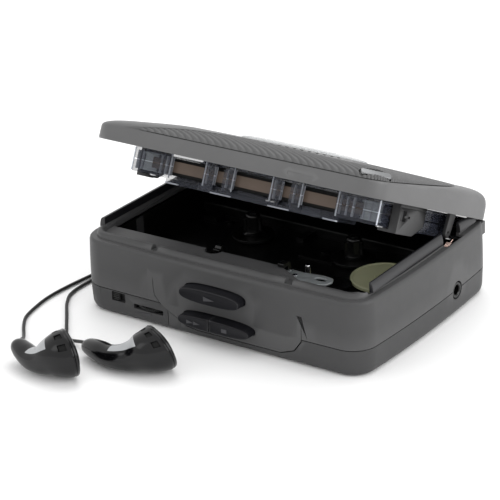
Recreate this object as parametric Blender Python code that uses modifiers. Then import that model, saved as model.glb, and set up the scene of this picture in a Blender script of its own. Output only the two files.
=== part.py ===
"""Cassette player with its lid open, a cassette in the lid and a pair of earphones.

Origin: bottom centre of the body. X runs along the long side, Y from the button side to the hinge, Z up.
Sizes are in millimetres; MM turns them into Blender's metres.
"""

import math

import bmesh
import bpy
from mathutils import Matrix, Vector

MM = 0.001
GAP = 0.3            # between pieces that touch
RUNNING = 0.05       # radial, between a pin and its hole

# Casing
BODY_LENGTH = 118.0
BODY_DEPTH = 86.6
CORNER = 9.0
END_BULGE = 1.2      # how far the short sides bow out
LONG_BULGE = 0.35
WALL = 1.8
SPLIT = 9.6          # height of the line between base and top casing
LEDGE = 26.4         # top edge of the casing's side
DECK_TOP = 14.0      # floor of the cassette well
DECK_THICK = 1.4
STRIP = 27.0         # flat strip round the well
ROOF = 1.2           # thickness of that strip
BEAD_HEIGHT = 1.5
RAIL_HEIGHT = 3.6
RAIL_OUTSIDE = 55.8  # from the middle, inside the closed lid's wall

# Lid
LID_FLOOR = 26.9     # lower edge of the closed lid
LID_TOP = 36.8
LID_SHOULDER = 31.5
LID_CROWN = 0.9
LID_FALL = 3.4
WINDOW_TOP = LID_TOP + 0.7
LID_WALL = 1.2
LID_ANGLE = 25.45    # how far the lid stands open, degrees
HINGE_INSET = 5.9    # hinge axis from the rear face
HINGE_HEIGHT = 24.4
HINGE_PIN_RADIUS = 1.2
EAR_THICK = 2.0
INLAY_THICK = 0.5    # ribbed area let into the lid
INLAY_FLOOR = (32.4, 39.0)   # height of its lower edge at the front and, on the same slope, far behind
INLAY_EDGE = [(-43.5, -42.25), (-35.0, -41.5), (-26.0, -40.5), (-18.0, -39.2), (-11.0, -37.8),
              (-1.0, -34.6), (9.0, -29.4), (18.0, -22.0),
              (24.5, -12.0), (28.0, 0.0), (29.5, 14.0), (30.0, 45.0)]
WINDOW_PLACE = (0.0, 4.0)
WINDOW_SIZE = (40.0, 24.0)
BADGE_PLACE = (53.2, -37.4, 34.75)
BADGE_SIZE = (10.6, 2.4, 0.25)
BADGE_TURN = 52.0
BADGE_TILT = 38.0

# Compact cassette
TAPE_LENGTH = 100.4
TAPE_DEPTH = 63.8
TAPE_THIN = 8.7
TAPE_THICK = 12.0
TAPE_SHELL = 1.1
TAPE_FRONT = -24.5   # tape edge
TAPE_MIDDLE = 22.5   # height of the seam
HUB_SPACING = 42.5
HUB_FROM_FRONT = 34.8
HUB_BORE = 4.8
LEFT_PACK = 20.0
RIGHT_PACK = 17.0

# Drive
CAPSTAN_RADIUS = 1.0
CAPSTAN_BEHIND = 5.8     # capstan behind the tape edge
CAPSTAN_TOP = 24.2
GEAR_THICK = 1.5
PINION_RADIUS = 4.0
IDLER_RADIUS = 5.5
DRIVE_RADIUS = 11.6
MESH = 0.1               # clearance between two wheels
DRIVE_GEAR = (38.7, 1.6)
FLYWHEEL_RADIUS = 13.0
FLYWHEEL_THICK = 2.8
BELT_TRACK = 12.5
PULLEY_RADIUS = 3.2
BELT_THICK = 0.6
MOTOR = (-20.0, -8.0)
MOTOR_RADIUS = 11.0
SPINDLE_TOP = 24.0
SPINDLE_RADIUS = 2.8
SHAFT_RADIUS = 1.5

# Heads
HEAD_REST = -25.7        # face of the playback head when stopped
HEAD_WIDTH = 11.0
ROLLER_RADIUS = 3.6
ROLLER_REST = -29.0
ARM_PIVOT = (33.0, -28.5)
ARM_HEIGHT = 24.7
ARM_THICK = 0.6

# Controls
BUTTON_PROUD = 4.3
BUTTON_SKIRT = 1.2       # flange behind the panel
PLAY = (0.0, 18.0, 12.2, 2.6)        # centre x, centre z, half width, half height
LOWER = (1.2, 7.85, 14.5, 2.35)
LOWER_DIVIDE = -0.4
WHEEL = (-28.75, 10.0, 4.95, 1.2)    # volume wheel: x, radius, underside, thickness
WHEEL_SLOT = 12.5
SWITCH = (-41.6, 7.3, 5.8, 3.4)      # switch window: centre x, centre z, width, height
JACK = (16.7, 9.2)                   # y, z on the right side
JACK_BORE = 1.8
JACK_COLLAR = 3.0

# Battery bay
BATTERY_RADIUS = 7.1
BATTERY_LENGTH = 50.3
BATTERY_Y = 31.5
BATTERY_Z = 9.15
DOOR_THICK = 1.3
DOOR_FRONT = 23.3
DOOR_HALF = 52.7
HUMP_TOP = 17.5
HUMP_WALL = 0.7

# Earphones
LEAD_RADIUS = 0.6
COIL_CENTRE = (-26.0, 66.0)
COIL_MEAN = 10.0
COIL_WIDE = 3.8
COIL_HIGH = 6.6

HALF_LENGTH = BODY_LENGTH / 2
HALF_DEPTH = BODY_DEPTH / 2
HINGE = (0.0, HALF_DEPTH - HINGE_INSET, HINGE_HEIGHT)
HUB_Y = TAPE_FRONT + HUB_FROM_FRONT
HUB_X = HUB_SPACING / 2
CAPSTAN = (HUB_X, TAPE_FRONT + CAPSTAN_BEHIND)
THIN_FLOOR = TAPE_MIDDLE - TAPE_THIN / 2
GEAR_FLOOR = DECK_TOP + 0.4
DECK_FLOOR = DECK_TOP - DECK_THICK

# Well opening in the top casing, from the left front corner
WELL = [(-52.5, -29.9), (17.5, -29.0), (29.9, -36.3), (54.2, -36.3), (54.2, 41.2), (-53.9, 41.2),
        (-53.9, 20.0), (-52.5, 19.0)]
# Panel of the top casing that reaches down round the lower buttons: x, z
TONGUE = [(-26.0, 18.0), (-25.4, 12.0), (-23.6, 9.8), (-20.6, 7.8), (-16.0, 5.4), (-12.5, 3.6),
          (-8.0, 3.0), (25.5, 3.0), (31.0, 5.0),
          (34.0, 9.0), (34.3, 18.0)]

# Sections of the earbuds, x, y, z and radius, from the stem's end to the rim of the speaker
LEFT_BUD = [(-50.2, -86.9, 6.2, 2.3), (-48.4, -87.7, 5.9, 3.2), (-44.8, -89.2, 5.2, 3.8),
            (-40.6, -90.6, 4.6, 4.1), (-36.8, -90.8, 5.2, 4.8),
            (-33.3, -90.2, 6.8, 6.4), (-30.4, -89.4, 7.9, 7.6), (-28.3, -88.1, 8.4, 8.2)]
RIGHT_BUD = [(-32.8, -71.4, 3.4, 2.3), (-30.7, -72.4, 3.7, 3.2), (-25.6, -74.0, 4.1, 3.8),
             (-20.5, -75.2, 4.2, 3.9), (-15.8, -75.1, 4.8, 4.4),
             (-11.9, -73.8, 5.7, 5.2), (-8.6, -72.6, 7.0, 6.7), (-6.3, -71.2, 7.6, 7.6),
             (-4.7, -69.5, 8.1, 8.2)]
# Earphone leads, x, y, z along each, from the bud to the splitter behind the body
LEFT_ROUTE = [(-51.9, -84.2, 5.4), (-53.6, -80.6, 4.4), (-56.6, -76.4, 2.2), (-60.6, -71.6, 0.8),
              (-65.0, -66.4, 0.6), (-68.9, -60.4, 0.6), (-71.2, -51.9, 0.6),
              (-72.4, -43.3, 0.6), (-72.0, -32.9, 0.6), (-70.6, -20.0, 0.6), (-69.4, -4.0, 0.6),
              (-69.0, 14.0, 0.6), (-69.0, 32.0, 0.6),
              (-67.6, 47.0, 0.6), (-62.4, 58.5, 0.6), (-54.0, 65.2, 0.6), (-48.2, 67.2, 0.6)]
RIGHT_ROUTE = [(-35.6, -69.9, 3.0), (-38.8, -68.6, 2.0), (-42.6, -67.6, 0.9), (-46.6, -65.6, 0.6),
               (-51.0, -60.4, 0.6), (-57.5, -52.2, 0.6),
               (-63.8, -44.2, 0.6), (-67.6, -36.4, 0.6), (-68.0, -24.0, 0.6), (-66.4, -8.0, 0.6),
               (-65.8, 10.0, 0.6), (-65.8, 28.0, 0.6),
               (-65.0, 42.0, 0.6), (-60.8, 53.6, 0.6), (-53.4, 61.6, 0.6), (-48.2, 64.6, 0.6)]


# ---------------------------------------------------------------- helpers

def collection(name):
    made = bpy.data.collections.new(name)
    bpy.context.scene.collection.children.link(made)
    return made


def material(name, colour, roughness, metallic=0.0):
    made = bpy.data.materials.new(name)
    made.use_nodes = True
    shader = made.node_tree.nodes["Principled BSDF"]
    shader.inputs["Base Color"].default_value = (*colour, 1.0)
    shader.inputs["Roughness"].default_value = roughness
    shader.inputs["Metallic"].default_value = metallic
    return made


def new_object(name, mesh, look=None):
    obj = bpy.data.objects.new(name, mesh)
    PARTS.objects.link(obj)
    if look:
        mesh.materials.append(material(name, *LOOKS[look]))
    mesh.shade_smooth()
    mesh.set_sharp_from_angle(angle=math.radians(30))
    return obj


def mesh_object(name, shape, look=None):
    """Turns a bmesh in millimetres into an object in metres."""
    bmesh.ops.scale(shape, vec=(MM, MM, MM), verts=shape.verts)
    bmesh.ops.recalc_face_normals(shape, faces=shape.faces)
    mesh = bpy.data.meshes.new(name)
    shape.to_mesh(mesh)
    shape.free()
    return new_object(name, mesh, look)


def box(name, low, high, look=None, bevel=0.0):
    shape = bmesh.new()
    bmesh.ops.create_cube(shape, size=1.0)
    size = [b - a for a, b in zip(low, high)]
    middle = [(a + b) / 2 for a, b in zip(low, high)]
    bmesh.ops.scale(shape, vec=size, verts=shape.verts)
    bmesh.ops.translate(shape, vec=middle, verts=shape.verts)
    obj = mesh_object(name, shape, look)
    if bevel:
        rounding = obj.modifiers.new("edges", "BEVEL")
        rounding.width = bevel * MM
        rounding.segments = 1
    return obj


def turned(name, profile, centre, look=None, sides=32, axis="Z"):
    """A profile of (radius, height) pairs, top first, turned about an axis through centre."""
    points = list(profile)
    if points[0][1] < points[-1][1]:
        points.reverse()
    points = [(0.0, points[0][1])] + points + [(0.0, points[-1][1])]
    mesh = bpy.data.meshes.new(name)
    corners = [(radius * MM, 0, height * MM) for radius, height in points]
    mesh.from_pydata(corners, [(i, i + 1) for i in range(len(corners) - 1)], [])
    obj = new_object(name, mesh, look)
    screw = obj.modifiers.new("turn", "SCREW")
    screw.steps = sides
    screw.render_steps = sides
    screw.use_merge_vertices = True
    screw.merge_threshold = 0.001 * MM
    stand(obj, centre, axis)
    return obj


def stand(obj, centre, axis):
    """Moves a shape made about Z to centre, its axis along X, Y or Z."""
    if axis == "X":
        obj.rotation_euler.y = math.pi / 2
    if axis == "Y":
        obj.rotation_euler.x = -math.pi / 2
    obj.location = Vector(centre) * MM


def rod(name, centre, radius, low, high, look=None, sides=24, axis="Z"):
    """A plain cylinder from low to high along its axis; centre gives the other two coordinates."""
    shape = bmesh.new()
    bmesh.ops.create_cone(shape, cap_ends=True, segments=sides, radius1=radius, radius2=radius,
                          depth=high - low)
    bmesh.ops.translate(shape, vec=(0, 0, (low + high) / 2), verts=shape.verts)
    obj = mesh_object(name, shape, look)
    at = {"X": (0, *centre), "Y": (centre[0], 0, centre[1]), "Z": (*centre, 0)}[axis]
    stand(obj, at, axis)
    return obj


def skin(shape, rings):
    for lower, upper in zip(rings, rings[1:]):
        count = len(lower)
        for i in range(count):
            j = (i + 1) % count
            shape.faces.new((lower[i], lower[j], upper[j], upper[i]))
    shape.faces.new(list(reversed(rings[0])))
    shape.faces.new(rings[-1])


def loft(name, outlines, look=None):
    """A closed skin over outlines of equal length, each a list of (x, y, z)."""
    shape = bmesh.new()
    rings = [[shape.verts.new(point) for point in outline] for outline in outlines]
    skin(shape, rings)
    return mesh_object(name, shape, look)


def outline_curve(name, outlines, thickness):
    """A flat outline, with any holes, as a filled 2D curve of this thickness."""
    curve = bpy.data.curves.new(name, "CURVE")
    curve.dimensions = "2D"
    curve.fill_mode = "BOTH"
    curve.extrude = thickness / 2 * MM
    for points in outlines:
        spline = curve.splines.new("POLY")
        spline.points.add(len(points) - 1)
        for point, (x, y) in zip(spline.points, points):
            point.co = (x * MM, y * MM, 0, 1)
        spline.use_cyclic_u = True
    return bpy.data.objects.new(name, curve)


def to_mesh(curve_object, look=None):
    """The curve's solid as a mesh object, its caps welded on."""
    name = curve_object.name
    PARTS.objects.link(curve_object)
    bpy.context.view_layer.update()
    graph = bpy.context.evaluated_depsgraph_get()
    mesh = bpy.data.meshes.new_from_object(curve_object.evaluated_get(graph))
    place = curve_object.matrix_world.copy()
    bpy.data.objects.remove(curve_object)
    shape = bmesh.new()
    shape.from_mesh(mesh)
    bmesh.ops.remove_doubles(shape, verts=shape.verts, dist=0.001 * MM)
    bmesh.ops.recalc_face_normals(shape, faces=shape.faces)
    shape.to_mesh(mesh)
    shape.free()
    mesh.name = name
    mesh.transform(place)
    return new_object(name, mesh, look)


def slab(name, outlines, low, high, look=None, facing="Z"):
    """An outline of (x, y) points stood up between low and high; facing Y takes (x, z) points and X takes (y, z)."""
    if not isinstance(outlines[0], list):
        outlines = [outlines]
    curve = outline_curve(name, outlines, high - low)
    middle = (low + high) / 2 * MM
    if facing == "Z":
        curve.matrix_world = Matrix.Translation((0, 0, middle))
    if facing == "Y":
        curve.matrix_world = Matrix.Translation((0, middle, 0)) @ Matrix.Rotation(math.pi / 2, 4, "X")
    if facing == "X":
        stand = Matrix(((0, 0, 1, middle), (1, 0, 0, 0), (0, 1, 0, 0), (0, 0, 0, 1)))
        curve.matrix_world = stand
    return to_mesh(curve, look)


def tube(name, points, radius, look=None, resolution=2):
    """A tube along points in millimetres."""
    curve = bpy.data.curves.new(name, "CURVE")
    curve.dimensions = "3D"
    curve.bevel_depth = radius * MM
    curve.bevel_resolution = resolution
    curve.use_fill_caps = True
    spline = curve.splines.new("POLY")
    spline.points.add(len(points) - 1)
    for point, place in zip(spline.points, points):
        point.co = (*(Vector(place) * MM), 1)
    return to_mesh(bpy.data.objects.new(name, curve), look)


def smooth_route(points, count):
    """count points spread evenly along a smooth curve through the given ones."""
    fine = []
    for i in range(len(points) - 1):
        before = Vector(points[max(i - 1, 0)])
        start = Vector(points[i])
        end = Vector(points[i + 1])
        after = Vector(points[min(i + 2, len(points) - 1)])
        for step in range(12):
            t = step / 12
            fine.append(0.5 * (2 * start + (end - before) * t + (2 * before - 5 * start + 4 * end - after) * t ** 2
                               + (3 * start - before - 3 * end + after) * t ** 3))
    fine.append(Vector(points[-1]))
    reach = [0.0]
    for a, b in zip(fine, fine[1:]):
        reach.append(reach[-1] + (b - a).length)
    spread = []
    place = 0
    for i in range(count):
        target = reach[-1] * i / (count - 1)
        while place < len(fine) - 2 and reach[place + 1] < target:
            place += 1
        part = (target - reach[place]) / (reach[place + 1] - reach[place])
        spread.append(fine[place].lerp(fine[place + 1], min(part, 1.0)))
    return spread


def rounded(points, radius, steps=4):
    """The polygon with its corners rounded."""
    out = []
    count = len(points)
    for i, point in enumerate(points):
        here = Vector(point)
        back = (Vector(points[i - 1]) - here)
        ahead = (Vector(points[(i + 1) % count]) - here)
        half = back.angle(ahead) / 2
        reach = min(radius / math.tan(half), back.length * 0.45, ahead.length * 0.45)
        start = here + back.normalized() * reach
        end = here + ahead.normalized() * reach
        for step in range(steps + 1):
            t = step / steps
            out.append(tuple(start * (1 - t) ** 2 + here * 2 * t * (1 - t) + end * t ** 2))
    return out


def rectangle(low, high, radius=0.0, steps=4):
    corners = [(low[0], low[1]), (high[0], low[1]), (high[0], high[1]), (low[0], high[1])]
    return rounded(corners, radius, steps) if radius else corners


def circle(centre, radius, sides=24):
    turns = [2 * math.pi * i / sides for i in range(sides)]
    return [(centre[0] + radius * math.cos(t), centre[1] + radius * math.sin(t)) for t in turns]


def lens(centre_x, centre_z, half_width, half_height, sides=28, grow=0.0):
    """Outline of the long buttons: a flattened superellipse."""
    points = []
    for i in range(sides):
        turn = 2 * math.pi * i / sides
        c, s = math.cos(turn), math.sin(turn)
        x = math.copysign(abs(c) ** 0.72, c) * (half_width + grow)
        z = math.copysign(abs(s) ** 0.72, s) * (half_height + grow)
        points.append((centre_x + x, centre_z + z))
    return points


def body_outline(inset, height):
    """The casing's outline, drawn in by inset, at this height: round corners and bowed sides."""
    radius = max(CORNER - inset, 2.0)
    half_x = HALF_LENGTH - END_BULGE - inset
    half_y = HALF_DEPTH - LONG_BULGE - inset
    points = []
    for quarter, (sx, sy) in enumerate([(-1, -1), (1, -1), (1, 1), (-1, 1)]):
        centre = (sx * (half_x - radius), sy * (half_y - radius))
        start = math.pi + quarter * math.pi / 2
        for i in range(6):
            turn = start + i * math.pi / 10
            points.append((centre[0] + radius * math.cos(turn), centre[1] + radius * math.sin(turn),
                           height))
        along_x = quarter % 2 == 0
        reach = 2 * ((half_x if along_x else half_y) - radius)
        bow = LONG_BULGE if along_x else END_BULGE
        outward = [(0, -1), (1, 0), (0, 1), (-1, 0)][quarter]
        onward = [(1, 0), (0, 1), (-1, 0), (0, -1)][quarter]
        x0, y0 = points[-1][:2]
        for i in range(1, 5):
            t = i / 5
            lift = bow * 4 * t * (1 - t)
            x = x0 + onward[0] * reach * t + outward[0] * lift
            y = y0 + onward[1] * reach * t + outward[1] * lift
            points.append((x, y, height))
    return points


def operate(target, other, operation):
    """A Boolean with another shape, which becomes a cutter."""
    modifier = target.modifiers.new(other.name, "BOOLEAN")
    modifier.operation = operation
    modifier.object = other
    modifier.solver = "EXACT"
    PARTS.objects.unlink(other)
    CUTTERS.objects.link(other)
    other.hide_render = True
    other.display_type = "WIRE"
    return target


def cut(target, *others):
    for other in others:
        operate(target, other, "DIFFERENCE")
    return target


def join(target, *others):
    for other in others:
        operate(target, other, "UNION")
    return target


def keep_common(target, other):
    return operate(target, other, "INTERSECT")


def axis_empty(name, place):
    empty = bpy.data.objects.new(name, None)
    empty.empty_display_size = 5 * MM
    empty.location = Vector(place) * MM
    PARTS.objects.link(empty)
    return empty


def hang(empty, *pieces):
    """Parents pieces, with the cutters that shape them, to an empty on their joint's axis."""
    for piece in pieces:
        family = [piece]
        for member in family:
            family += [m.object for m in member.modifiers if m.type == "BOOLEAN"]
        for member in family:
            if member.parent is None:
                member.parent = empty
                member.matrix_parent_inverse = Matrix.Translation(-empty.location)


# ---------------------------------------------------------------- casing

def body_solid(name, look):
    """The whole body's outer form, which the base and the top casing are cut from."""
    levels = [(2.6, 0.0), (1.3, 0.5), (0.6, 1.5), (0.25, 3.0), (0.0, SPLIT - 0.4), (0.0, SPLIT + 0.6),
              (0.1, 18.0), (0.4, 25.2),
              (0.9, LEDGE), (3.0, LEDGE + 0.05), (3.2, STRIP + 0.4), (3.7, STRIP + 1.1),
              (4.6, STRIP + BEAD_HEIGHT),
              (5.5, STRIP + 1.1), (6.1, STRIP)]
    return loft(name, [body_outline(inset, height) for inset, height in levels], look)


def hollow(name, low, high):
    return loft(name, [body_outline(WALL, low), body_outline(WALL, high)])


def tongue_block(name, grow):
    points = []
    for x, z in TONGUE:
        points.append((x + math.copysign(grow, x), z - (grow if z < SPLIT else 0)))
    return slab(name, rounded(points, 0.8, 2), -HALF_DEPTH - 2, -HALF_DEPTH + 8, facing="Y")


def button_holes(prefix):
    """Cutters for the play button and the pair below it."""
    front, back = -HALF_DEPTH - 2, -HALF_DEPTH + 6
    return [slab(prefix + "_play_hole", lens(*PLAY, grow=GAP), front, back, facing="Y"),
            slab(prefix + "_lower_hole", lens(*LOWER, grow=GAP), front, back, facing="Y")]


def jack_hole(name):
    return rod(name, JACK, JACK_COLLAR + GAP, HALF_LENGTH - 6, HALF_LENGTH + 2, axis="X")


def top_casing():
    casing = body_solid("top_casing", "casing")
    keep = box("top_casing_keep", (-70, -60, SPLIT + 0.15), (70, 60, 40))
    join(keep, tongue_block("tongue", 0.0))
    keep_common(casing, keep)
    cut(casing, hollow("top_hollow", -1, STRIP - ROOF))
    well = slab("well_opening", rounded(WELL, 2.2), STRIP - ROOF - 1, STRIP + 6)
    cut(casing, well)
    cut(casing, slab("stop_notch", circle((-9.6, -29.4), 3.2, 16), STRIP - ROOF - 1, STRIP + 6))
    for side, low, high in (("left", -57.2, -53.4), ("right", 53.0, 57.2)):
        cut(casing, box(side + "_rail_seat", (low, -34.0, STRIP), (high, 44, STRIP + 6)))
    for side, low, high in (("left", -28.2, -25.6), ("right", 26.2, 29.2)):
        cut(casing,
            box(side + "_bead_notch", (low, -HALF_DEPTH + 2.8, STRIP), (high, -HALF_DEPTH + 7, STRIP + 6)))
    cut(casing, box("arm_notch", (53.0, 12.6, STRIP - 6), (HALF_LENGTH - WALL - 0.1, 23.6, STRIP + 6)))
    lid_room = box("lid_room", (-70, HALF_DEPTH - 6.9, LID_FLOOR - 0.6), (70, HALF_DEPTH + 4, 50))
    room_axis = axis_empty("lid_room_axis", HINGE)
    hang(room_axis, lid_room)
    room_axis.rotation_euler.x = -math.radians(LID_ANGLE)
    cut(casing, lid_room)
    cut(casing, *button_holes("top"))
    cut(casing, jack_hole("top_jack_hole"))
    for side, sign in (("left", -1), ("right", 1)):
        inner, outer = sorted((sign * 53.9, sign * 56.6))
        boss = box(side + "_hinge_boss", (inner, HINGE[1] - 2.4, HINGE_HEIGHT - 3.0),
                   (outer, HINGE[1] + 2.4, HINGE_HEIGHT + 1.6))
        join(casing, boss)
        low, high = sorted((sign * 51.2, sign * 53.9))
        cut(casing, box(side + "_ear_room", (low, 33.0, 20.0), (high, 40.6, 30.0)))
        low, high = sorted((sign * 51.0, sign * 56.2))
        cut(casing,
            rod(side + "_pin_hole", HINGE[1:], HINGE_PIN_RADIUS + RUNNING, low, high, axis="X", sides=16))
    cut(casing, box("hump_room", (-52.4, 22.0, 12.0), (52.4, 41.4, HUMP_TOP + 0.5)))
    return casing


def base_cover():
    base = body_solid("base_cover", "base")
    keep_common(base, box("base_keep", (-70, -60, -1), (70, 60, SPLIT - 0.15)))
    cut(base, hollow("base_hollow", WALL, 20))
    cut(base, tongue_block("tongue_room", GAP))
    cut(base,
        box("door_opening", (-DOOR_HALF - GAP, DOOR_FRONT - GAP, -1),
            (DOOR_HALF + GAP, HALF_DEPTH + 2, DOOR_THICK + GAP)))
    x, radius, low, thick = WHEEL
    front = -HALF_DEPTH - 1
    cut(base,
        box("wheel_slot", (x - WHEEL_SLOT / 2, front, low - GAP),
            (x + WHEEL_SLOT / 2, front + 6, low + thick + GAP)))
    x, z, wide, high = SWITCH
    cut(base,
        box("switch_window", (x - wide / 2, front, z - high / 2), (x + wide / 2, front + 6, z + high / 2)))
    cut(base, jack_hole("base_jack_hole"))
    for name, (x, y) in zip(("a", "b", "c"), SCREWS):
        join(base, rod("screw_post_" + name, (x, y), 3.0, 1.0, 6.0, sides=16))
        cut(base, rod("screw_seat_" + name, (x, y), 2.2 + GAP, -1, 1.6, sides=16))
        cut(base, rod("screw_hole_" + name, (x, y), 0.9 + GAP, 0, 5.0, sides=12))
    return base


def base_screw(name, x, y):
    return turned(name, [(0.9, 4.4), (0.9, 1.4), (1.1, 1.2), (2.2, 1.2), (2.2, 0.6), (1.6, 0.2)][::-1],
                  (x, y, 0), "steel", 12)


def battery_door():
    door = body_solid("battery_door", "base")
    keep_common(door,
                box("door_keep", (-DOOR_HALF, DOOR_FRONT, 0.15), (DOOR_HALF, HALF_DEPTH + 2, DOOR_THICK)))
    for i in range(5):
        y = DOOR_FRONT + 4 + i * 1.6
        cut(door, box(f"door_grip_{i}", (-6 + i * 0.8, y, -1), (6 - i * 0.8, y + 0.8, 0.55)))
    return door


def battery(name, low):
    high = low + BATTERY_LENGTH
    profile = [(BATTERY_RADIUS - 0.6, low), (BATTERY_RADIUS, low + 0.6), (BATTERY_RADIUS, high - 1.8),
               (BATTERY_RADIUS - 0.7, high - 1.1),
               (2.7, high - 1.1), (2.6, high)]
    return turned(name, profile, (0, BATTERY_Y, BATTERY_Z), "battery", 28, "X")


def battery_contacts():
    end = BATTERY_LENGTH + 0.2
    low, high = (BATTERY_Y - 5, 5.2), (BATTERY_Y + 5, 12.0)
    negative = slab("negative_contact", rectangle(low, high), -end - 3.7, -end - 3.2, "steel", facing="X")
    cone = turned("contact_cone", [(3.2, -end - 3.4), (2.0, -end - 0.3)], (0, BATTERY_Y, BATTERY_Z),
                  sides=12, axis="X")
    join(negative, cone)
    positive = slab("positive_contact", rectangle(low, high), end + 3.2, end + 3.7, "steel", facing="X")
    join(positive,
         turned("contact_dimple", [(1.6, end + GAP), (2.6, end + 3.4)], (0, BATTERY_Y, BATTERY_Z),
                sides=12, axis="X"))
    return negative, positive


def deck_plate():
    deck = loft("deck_plate", [body_outline(WALL + GAP, DECK_FLOOR), body_outline(WALL + GAP, DECK_TOP)],
                "black")
    join(deck, box("battery_hump", (-52.0, 22.6, DECK_FLOOR + 0.2), (52.0, 40.9, HUMP_TOP)))
    cut(deck,
        box("battery_room", (-51.3, 22.6 + HUMP_WALL, 10), (51.3, 40.9 - HUMP_WALL, HUMP_TOP - HUMP_WALL)))
    join(deck, box("left_well_wall", (-53.6, -29.5, DECK_TOP - 0.5), (-52.8, 33.0, 24.6)))
    join(deck, box("right_well_wall", (54.5, -36.0, DECK_TOP - 0.5), (55.3, 33.0, 20.6)))
    for name, place, radius in (("capstan", CAPSTAN, CAPSTAN_RADIUS), ("idler", IDLER, SHAFT_RADIUS),
                                ("drive", DRIVE_GEAR, SHAFT_RADIUS),
                                ("left_spindle", (-HUB_X, HUB_Y), SHAFT_RADIUS),
                                ("right_spindle", (HUB_X, HUB_Y), SHAFT_RADIUS)):
        cut(deck, rod(name + "_bearing", place, radius + RUNNING, DECK_FLOOR - 1, DECK_TOP + 1, sides=24))
    return deck


def side_rail(name, inner, outer, low, high):
    """A quarter-round rail beside the well, from y = low to y = high."""
    floor = STRIP + GAP
    arc = []
    for i in range(7):
        turn = i * math.pi / 12
        arc.append((outer - (outer - inner) * 0.75 * (1 - math.cos(turn)),
                    floor + RAIL_HEIGHT * math.sin(turn)))
    rail = slab(name, [(inner, floor)] + arc + [(inner, floor + RAIL_HEIGHT)], low, high, "rail",
                facing="Y")
    fall = [(27.0, floor + RAIL_HEIGHT + 0.2), (36.0, floor + 1.0), (36.0, floor + 6), (27.0, floor + 6)]
    return cut(rail, slab(name + "_fall", fall, min(inner, outer) - 1, max(inner, outer) + 1, facing="X"))


def cassette_stops():
    """The two black hooks that the cassette's edge comes down behind."""
    top = STRIP + GAP
    left = [(-30.2, 19.6), (-26.4, 19.6), (-26.4, top), (-27.4, top + 1.2), (-28.6, top + 1.2),
            (-29.2, top + 0.4), (-30.2, top + 0.4)]
    slab("left_cassette_stop", left, -9.4, -7.0, "black", facing="X")
    right = [(-30.8, top), (-28.4, top), (-28.4, top - 1.8), (-26.6, top - 1.8), (-26.6, top + 0.3),
             (-27.6, top + 1.3), (-30.8, top + 1.3)]
    slab("right_cassette_stop", right, 17.4, 19.8, "black", facing="X")


# ---------------------------------------------------------------- controls

def button(name, outline):
    """A cap that stands proud of the panel, with a flange behind it that keeps it in."""
    front = -HALF_DEPTH - BUTTON_PROUD + LONG_BULGE
    back = -HALF_DEPTH + WALL + GAP
    cap = slab(name, outline, front, back + 0.4, "button", facing="Y")
    centre = [sum(p[i] for p in outline) / len(outline) for i in (0, 1)]
    wide = [(x + math.copysign(0.8, x - centre[0]), z + math.copysign(0.8, z - centre[1])) for x,
            z in outline]
    xs, zs = [p[0] for p in wide], [p[1] for p in wide]
    return cap, (min(xs), max(xs), min(zs), max(zs)), back


def play_button():
    cap, (x0, x1, z0, z1), back = button("play_button", lens(*PLAY))
    join(cap, box("play_flange", (x0, back, z0), (x1, back + BUTTON_SKIRT, z1)))
    join(cap, box("play_stem", (3.5, back + 0.5, PLAY[1] - 2.0), (7.5, -33.9, PLAY[1] + 1.0)))
    return cap


def lower_button(name, side):
    outline = lens(*LOWER)
    if side < 0:
        outline = [(min(x, LOWER_DIVIDE - GAP / 2), z) for x, z in outline]
    else:
        outline = [(max(x, LOWER_DIVIDE + GAP / 2), z) for x, z in outline]
    clean = [p for i, p in enumerate(outline) if (Vector(p) - Vector(outline[i - 1])).length > 0.05]
    end = LOWER_DIVIDE + side * GAP / 2
    top = max(z for x, z in clean)
    low = min(z for x, z in clean)
    square = [p for p in clean if abs(p[0] - end) > 0.01]
    edge = [(end, top), (end, low)]
    ordered = sorted(square, key=lambda p: math.atan2(p[1] - LOWER[1], (p[0] - end) * side))
    outline = [edge[1]] + ordered + [edge[0]]
    cap, (x0, x1, z0, z1), back = button(name, outline)
    x0, x1 = (x0, end) if side < 0 else (end, x1)
    join(cap, box(name + "_flange", (x0, back, max(z0, WALL + 0.6)), (x1, back + BUTTON_SKIRT, z1)))
    return cap


def coil_spring(name, x, z, front, back):
    """A compression spring along Y."""
    turns, radius, wire = 3.5, 1.5, 0.28
    count = int(turns * 8)
    points = []
    for i in range(count + 1):
        turn = 2 * math.pi * i / 8
        points.append((x + radius * math.cos(turn), front + wire + (back - front - 2 * wire) * i / count,
                       z + radius * math.sin(turn)))
    return tube(name, points, wire, "steel", 0)


def volume_wheel():
    x, radius, low, thick = WHEEL
    y = -HALF_DEPTH + 0.25 + radius
    return rod("volume_wheel", (x, y), radius, low, low + thick, "black", 40), (x, y, low)


def band_switch():
    x, z, wide, high = SWITCH
    left = x - wide / 2 + 0.2
    knob = box("band_switch", (left, -HALF_DEPTH + 0.9, z - high / 2 + GAP),
               (left + 2.8, -HALF_DEPTH + 5.0, z + high / 2 - GAP), "rubber")
    join(knob,
         box("switch_slider", (left - 1.0, -HALF_DEPTH + WALL + 0.6, z - high / 2 - 0.6),
             (left + 4.1, -HALF_DEPTH + 5.4, z + high / 2)))
    return knob


def headphone_jack():
    y, z = JACK
    socket = box("headphone_jack", (45.5, y - 3.8, 5.2), (HALF_LENGTH - 3.4, y + 3.8, DECK_FLOOR - 0.4),
                 "black")
    join(socket,
         rod("jack_collar", JACK, JACK_COLLAR, HALF_LENGTH - 4, HALF_LENGTH - 0.5, axis="X", sides=20))
    cut(socket, rod("jack_bore", JACK, JACK_BORE, 47.5, HALF_LENGTH + 1, axis="X", sides=20))
    return socket


# ---------------------------------------------------------------- drive

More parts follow.
